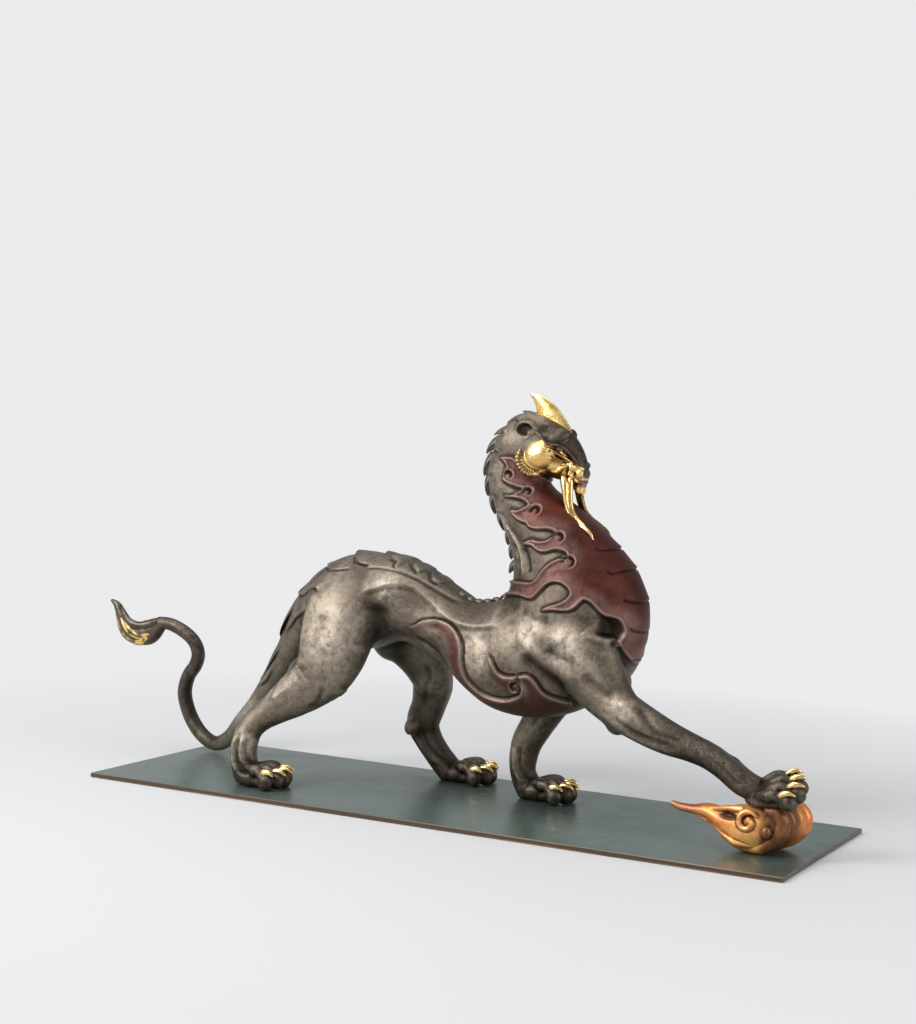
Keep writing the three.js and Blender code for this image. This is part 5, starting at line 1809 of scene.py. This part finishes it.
def scale_finish():
    f = Finish("scale_hide")
    color, blotch, grain = hide_layers(f, f.noise(26, 6, 0.62, 0.8))
    color = f.mix(f.span(blotch, 0.35, 0.65, 0.15, 0.5), color, (0.125, 0.122, 0.100))
    # Painted shade in the creases
    color = f.mix(f.times(f.mask("hollow"), 0.85), color, (0.013, 0.010, 0.008))
    normal = f.bump(blotch, 0.0006, 0.5, f.bump(grain, 0.00018, 0.7))
    return f.done(color, f.span(blotch, 0.3, 0.7, 0.4, 0.56), 0.84, normal)


hide = statue_finish()
scale_hide = scale_finish()
for thing in (figure, face):
    dress(thing, hide)
for thing in (*SCALES, hooks):
    dress(thing, scale_hide)
print("the hide is on")

# %% Gilding
def gold_finish():
    f = Finish("gold")
    blotch = f.noise(150, 6, 0.6, 0.4)
    grain = f.noise(1300, 3, 0.6)
    color = gold_layers(f, blotch)
    rough = f.span(blotch, 0.3, 0.7, 0.18, 0.34)
    return f.done(color, rough, 1.0, f.bump(blotch, 0.0005, 0.5, f.bump(grain, 0.0001, 0.4)))


gold = gold_finish()
for thing in (horn, beard, claws):
    dress(thing, gold)
print("horn, beard and claws are gilded")

# %% [markdown]
# The tuft is bare bronze with gilding only in its streaks. The cloud is gilded orange over a red
# brown ground that shows on its wisp. The plate has a blue green patina with brass along its rim,
# and a painted reflection of the backdrop lightens it towards the tail. The floor fades into the
# backdrop as a paper sweep does.

# %% Finishes of tuft and cloud
def tuft_finish():
    f = Finish("tuft_streaks")
    blotch = f.noise(160, 4, 0.6)
    color = f.mix(f.span(blotch, 0.35, 0.65), (0.07, 0.055, 0.045), (0.14, 0.115, 0.095))
    streaks = f.times(f.mask("streak"), f.span(blotch, 0.40, 0.52, 0.15, 1.0))
    color = f.mix(streaks, color, (0.85, 0.55, 0.18))
    # Painted shade in the creases
    color = f.mix(f.times(f.mask("hollow"), 0.7), color, (0.015, 0.012, 0.01))
    return f.done(color, f.span(blotch, 0.3, 0.7, 0.34, 0.5), 0.85, f.bump(blotch, 0.0004, 0.5))


def cloud_finish():
    f = Finish("cloud_patina")
    blotch = f.noise(110, 6, 0.62, 0.6)
    grain = f.noise(900, 3, 0.6)
    color = f.mix(f.span(blotch, 0.35, 0.65), (0.55, 0.165, 0.045), (0.88, 0.34, 0.085))
    color = f.mix(f.times(f.mask("low"), 0.9), color, (0.24, 0.060, 0.036))
    # Painted highlight on the cloud's near face
    worn = f.times(f.mask("worn"), f.span(blotch, 0.4, 0.6, 0.4, 0.9))
    color = f.mix(worn, color, (1.0, 0.53, 0.19))
    shade = f.times(f.mask("deep"), f.span(blotch, 0.3, 0.6, 1.0, 0.8))
    color = f.mix(shade, color, (0.062, 0.028, 0.014))
    # Ridges painted pale: partly rubbed gilding and partly painted highlight
    rub = f.times(f.mask("ridge"), f.span(f.mask("deep"), 0, 1, 0.45, 0.12))
    color = f.mix(rub, color, (0.86, 0.44, 0.19))
    # Painted shade in the creases
    color = f.mix(f.span(f.mask("hollow"), 0.1, 0.8, 0.0, 0.95), color, (0.022, 0.009, 0.005))
    normal = f.bump(blotch, 0.0006, 0.5, f.bump(grain, 0.0001))
    return f.done(color, f.span(blotch, 0.3, 0.7, 0.32, 0.48), 0.6, normal)


dress(tuft, tuft_finish())
dress(cloud, cloud_finish())
print("tuft and cloud have their finishes")

# %% Finish of the plate
def plate_finish():
    f = Finish("plate_patina")
    broad = f.noise(7, 5, 0.6, 0.5)
    streaks = f.noise(30, 5, 0.6, 0.1, (0.25, 5.0, 1.0))
    blotch = f.noise(70, 6, 0.65, 0.4)
    grain = f.noise(1500, 3, 0.6)
    color = f.mix(f.span(broad, 0.35, 0.65), (0.090, 0.134, 0.118), (0.142, 0.195, 0.172))
    color = f.mix(f.span(streaks, 0.5, 0.75, 0.0, 0.25), color, (0.215, 0.255, 0.228))
    color = f.mix(f.span(blotch, 0.55, 0.8, 0.0, 0.4), color, (0.180, 0.205, 0.172))
    # Painted reflection of the bright backdrop, lighter towards the tail
    color = f.mix(f.times(f.mask("far_end"), 0.55), color, (0.27, 0.32, 0.295))
    color = f.mix(f.mask("side"), color, (0.085, 0.056, 0.038))
    brass = f.times(f.mask("rim"), f.span(streaks, 0.40, 0.60, 0.1, 0.95))
    color = f.mix(brass, color, (0.42, 0.27, 0.13))
    rough = f.span(blotch, 0.3, 0.7, 0.24, 0.36)
    return f.done(color, rough, 0.55, f.bump(grain, 0.00006, 0.5))


points = points_of(plate)
inwards = np.minimum(points - PLATE_LOW, PLATE_HIGH - points)
edge_gap = np.minimum(inwards[:, 0], inwards[:, 1])
corner = step(-np.minimum(points[:, 2] - PLATE_LOW[2], (PLATE_HIGH[2] - points[:, 2]) + 0.35), -1.1, -0.5)
# Painted reflection of the backdrop: lighter towards the tail
write(plate, "far_end", (120 - points[:, 0]) / 420)
write(plate, "side", step(-edge_gap, -0.6, -0.2))
write(plate, "rim", step(-edge_gap, -0.4, -0.1) * corner)
dress(plate, plate_finish())
print("the plate has its patina")

# %% Finish of the floor
def floor_finish():
    f = Finish("floor_paper")
    tone = f.noise(0.8, 3, 0.5)
    color = f.mix(f.span(tone, 0.3, 0.7), (0.60, 0.60, 0.605), (0.63, 0.63, 0.635))
    far = f.node("ShaderNodeVectorMath", "Value", {0: f.place}, operation="LENGTH")
    glow = f.node("ShaderNodeEmission", "Emission", {"Color": BACKGROUND})
    blend = f.node("ShaderNodeMixShader", "Shader", {
        "Fac": f.span(far, 0.24, 0.78), 1: f.shader.outputs["BSDF"], 2: glow})
    f.put(f.tree.nodes["Material Output"].inputs["Surface"], blend)
    return f.done(color, 0.7, 0.0)


dress(floor, floor_finish())
print("the floor fades into the backdrop")

# %% [markdown]
# Last, each piece is tied to the frame by what it rides on, and the imported solids that the pieces
# replace are hidden.

# %% Tie the pieces to the frame
for thing in PIECES + [plate]:
    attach(thing, "root")
for thing in (figure, horn, *SCALES, hooks, claws, face, beard, tuft):
    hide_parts("pixiu_figure")
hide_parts("cloud_scroll")
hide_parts("base_plate")
print(len(PIECES) + 1, "pieces ride on root")
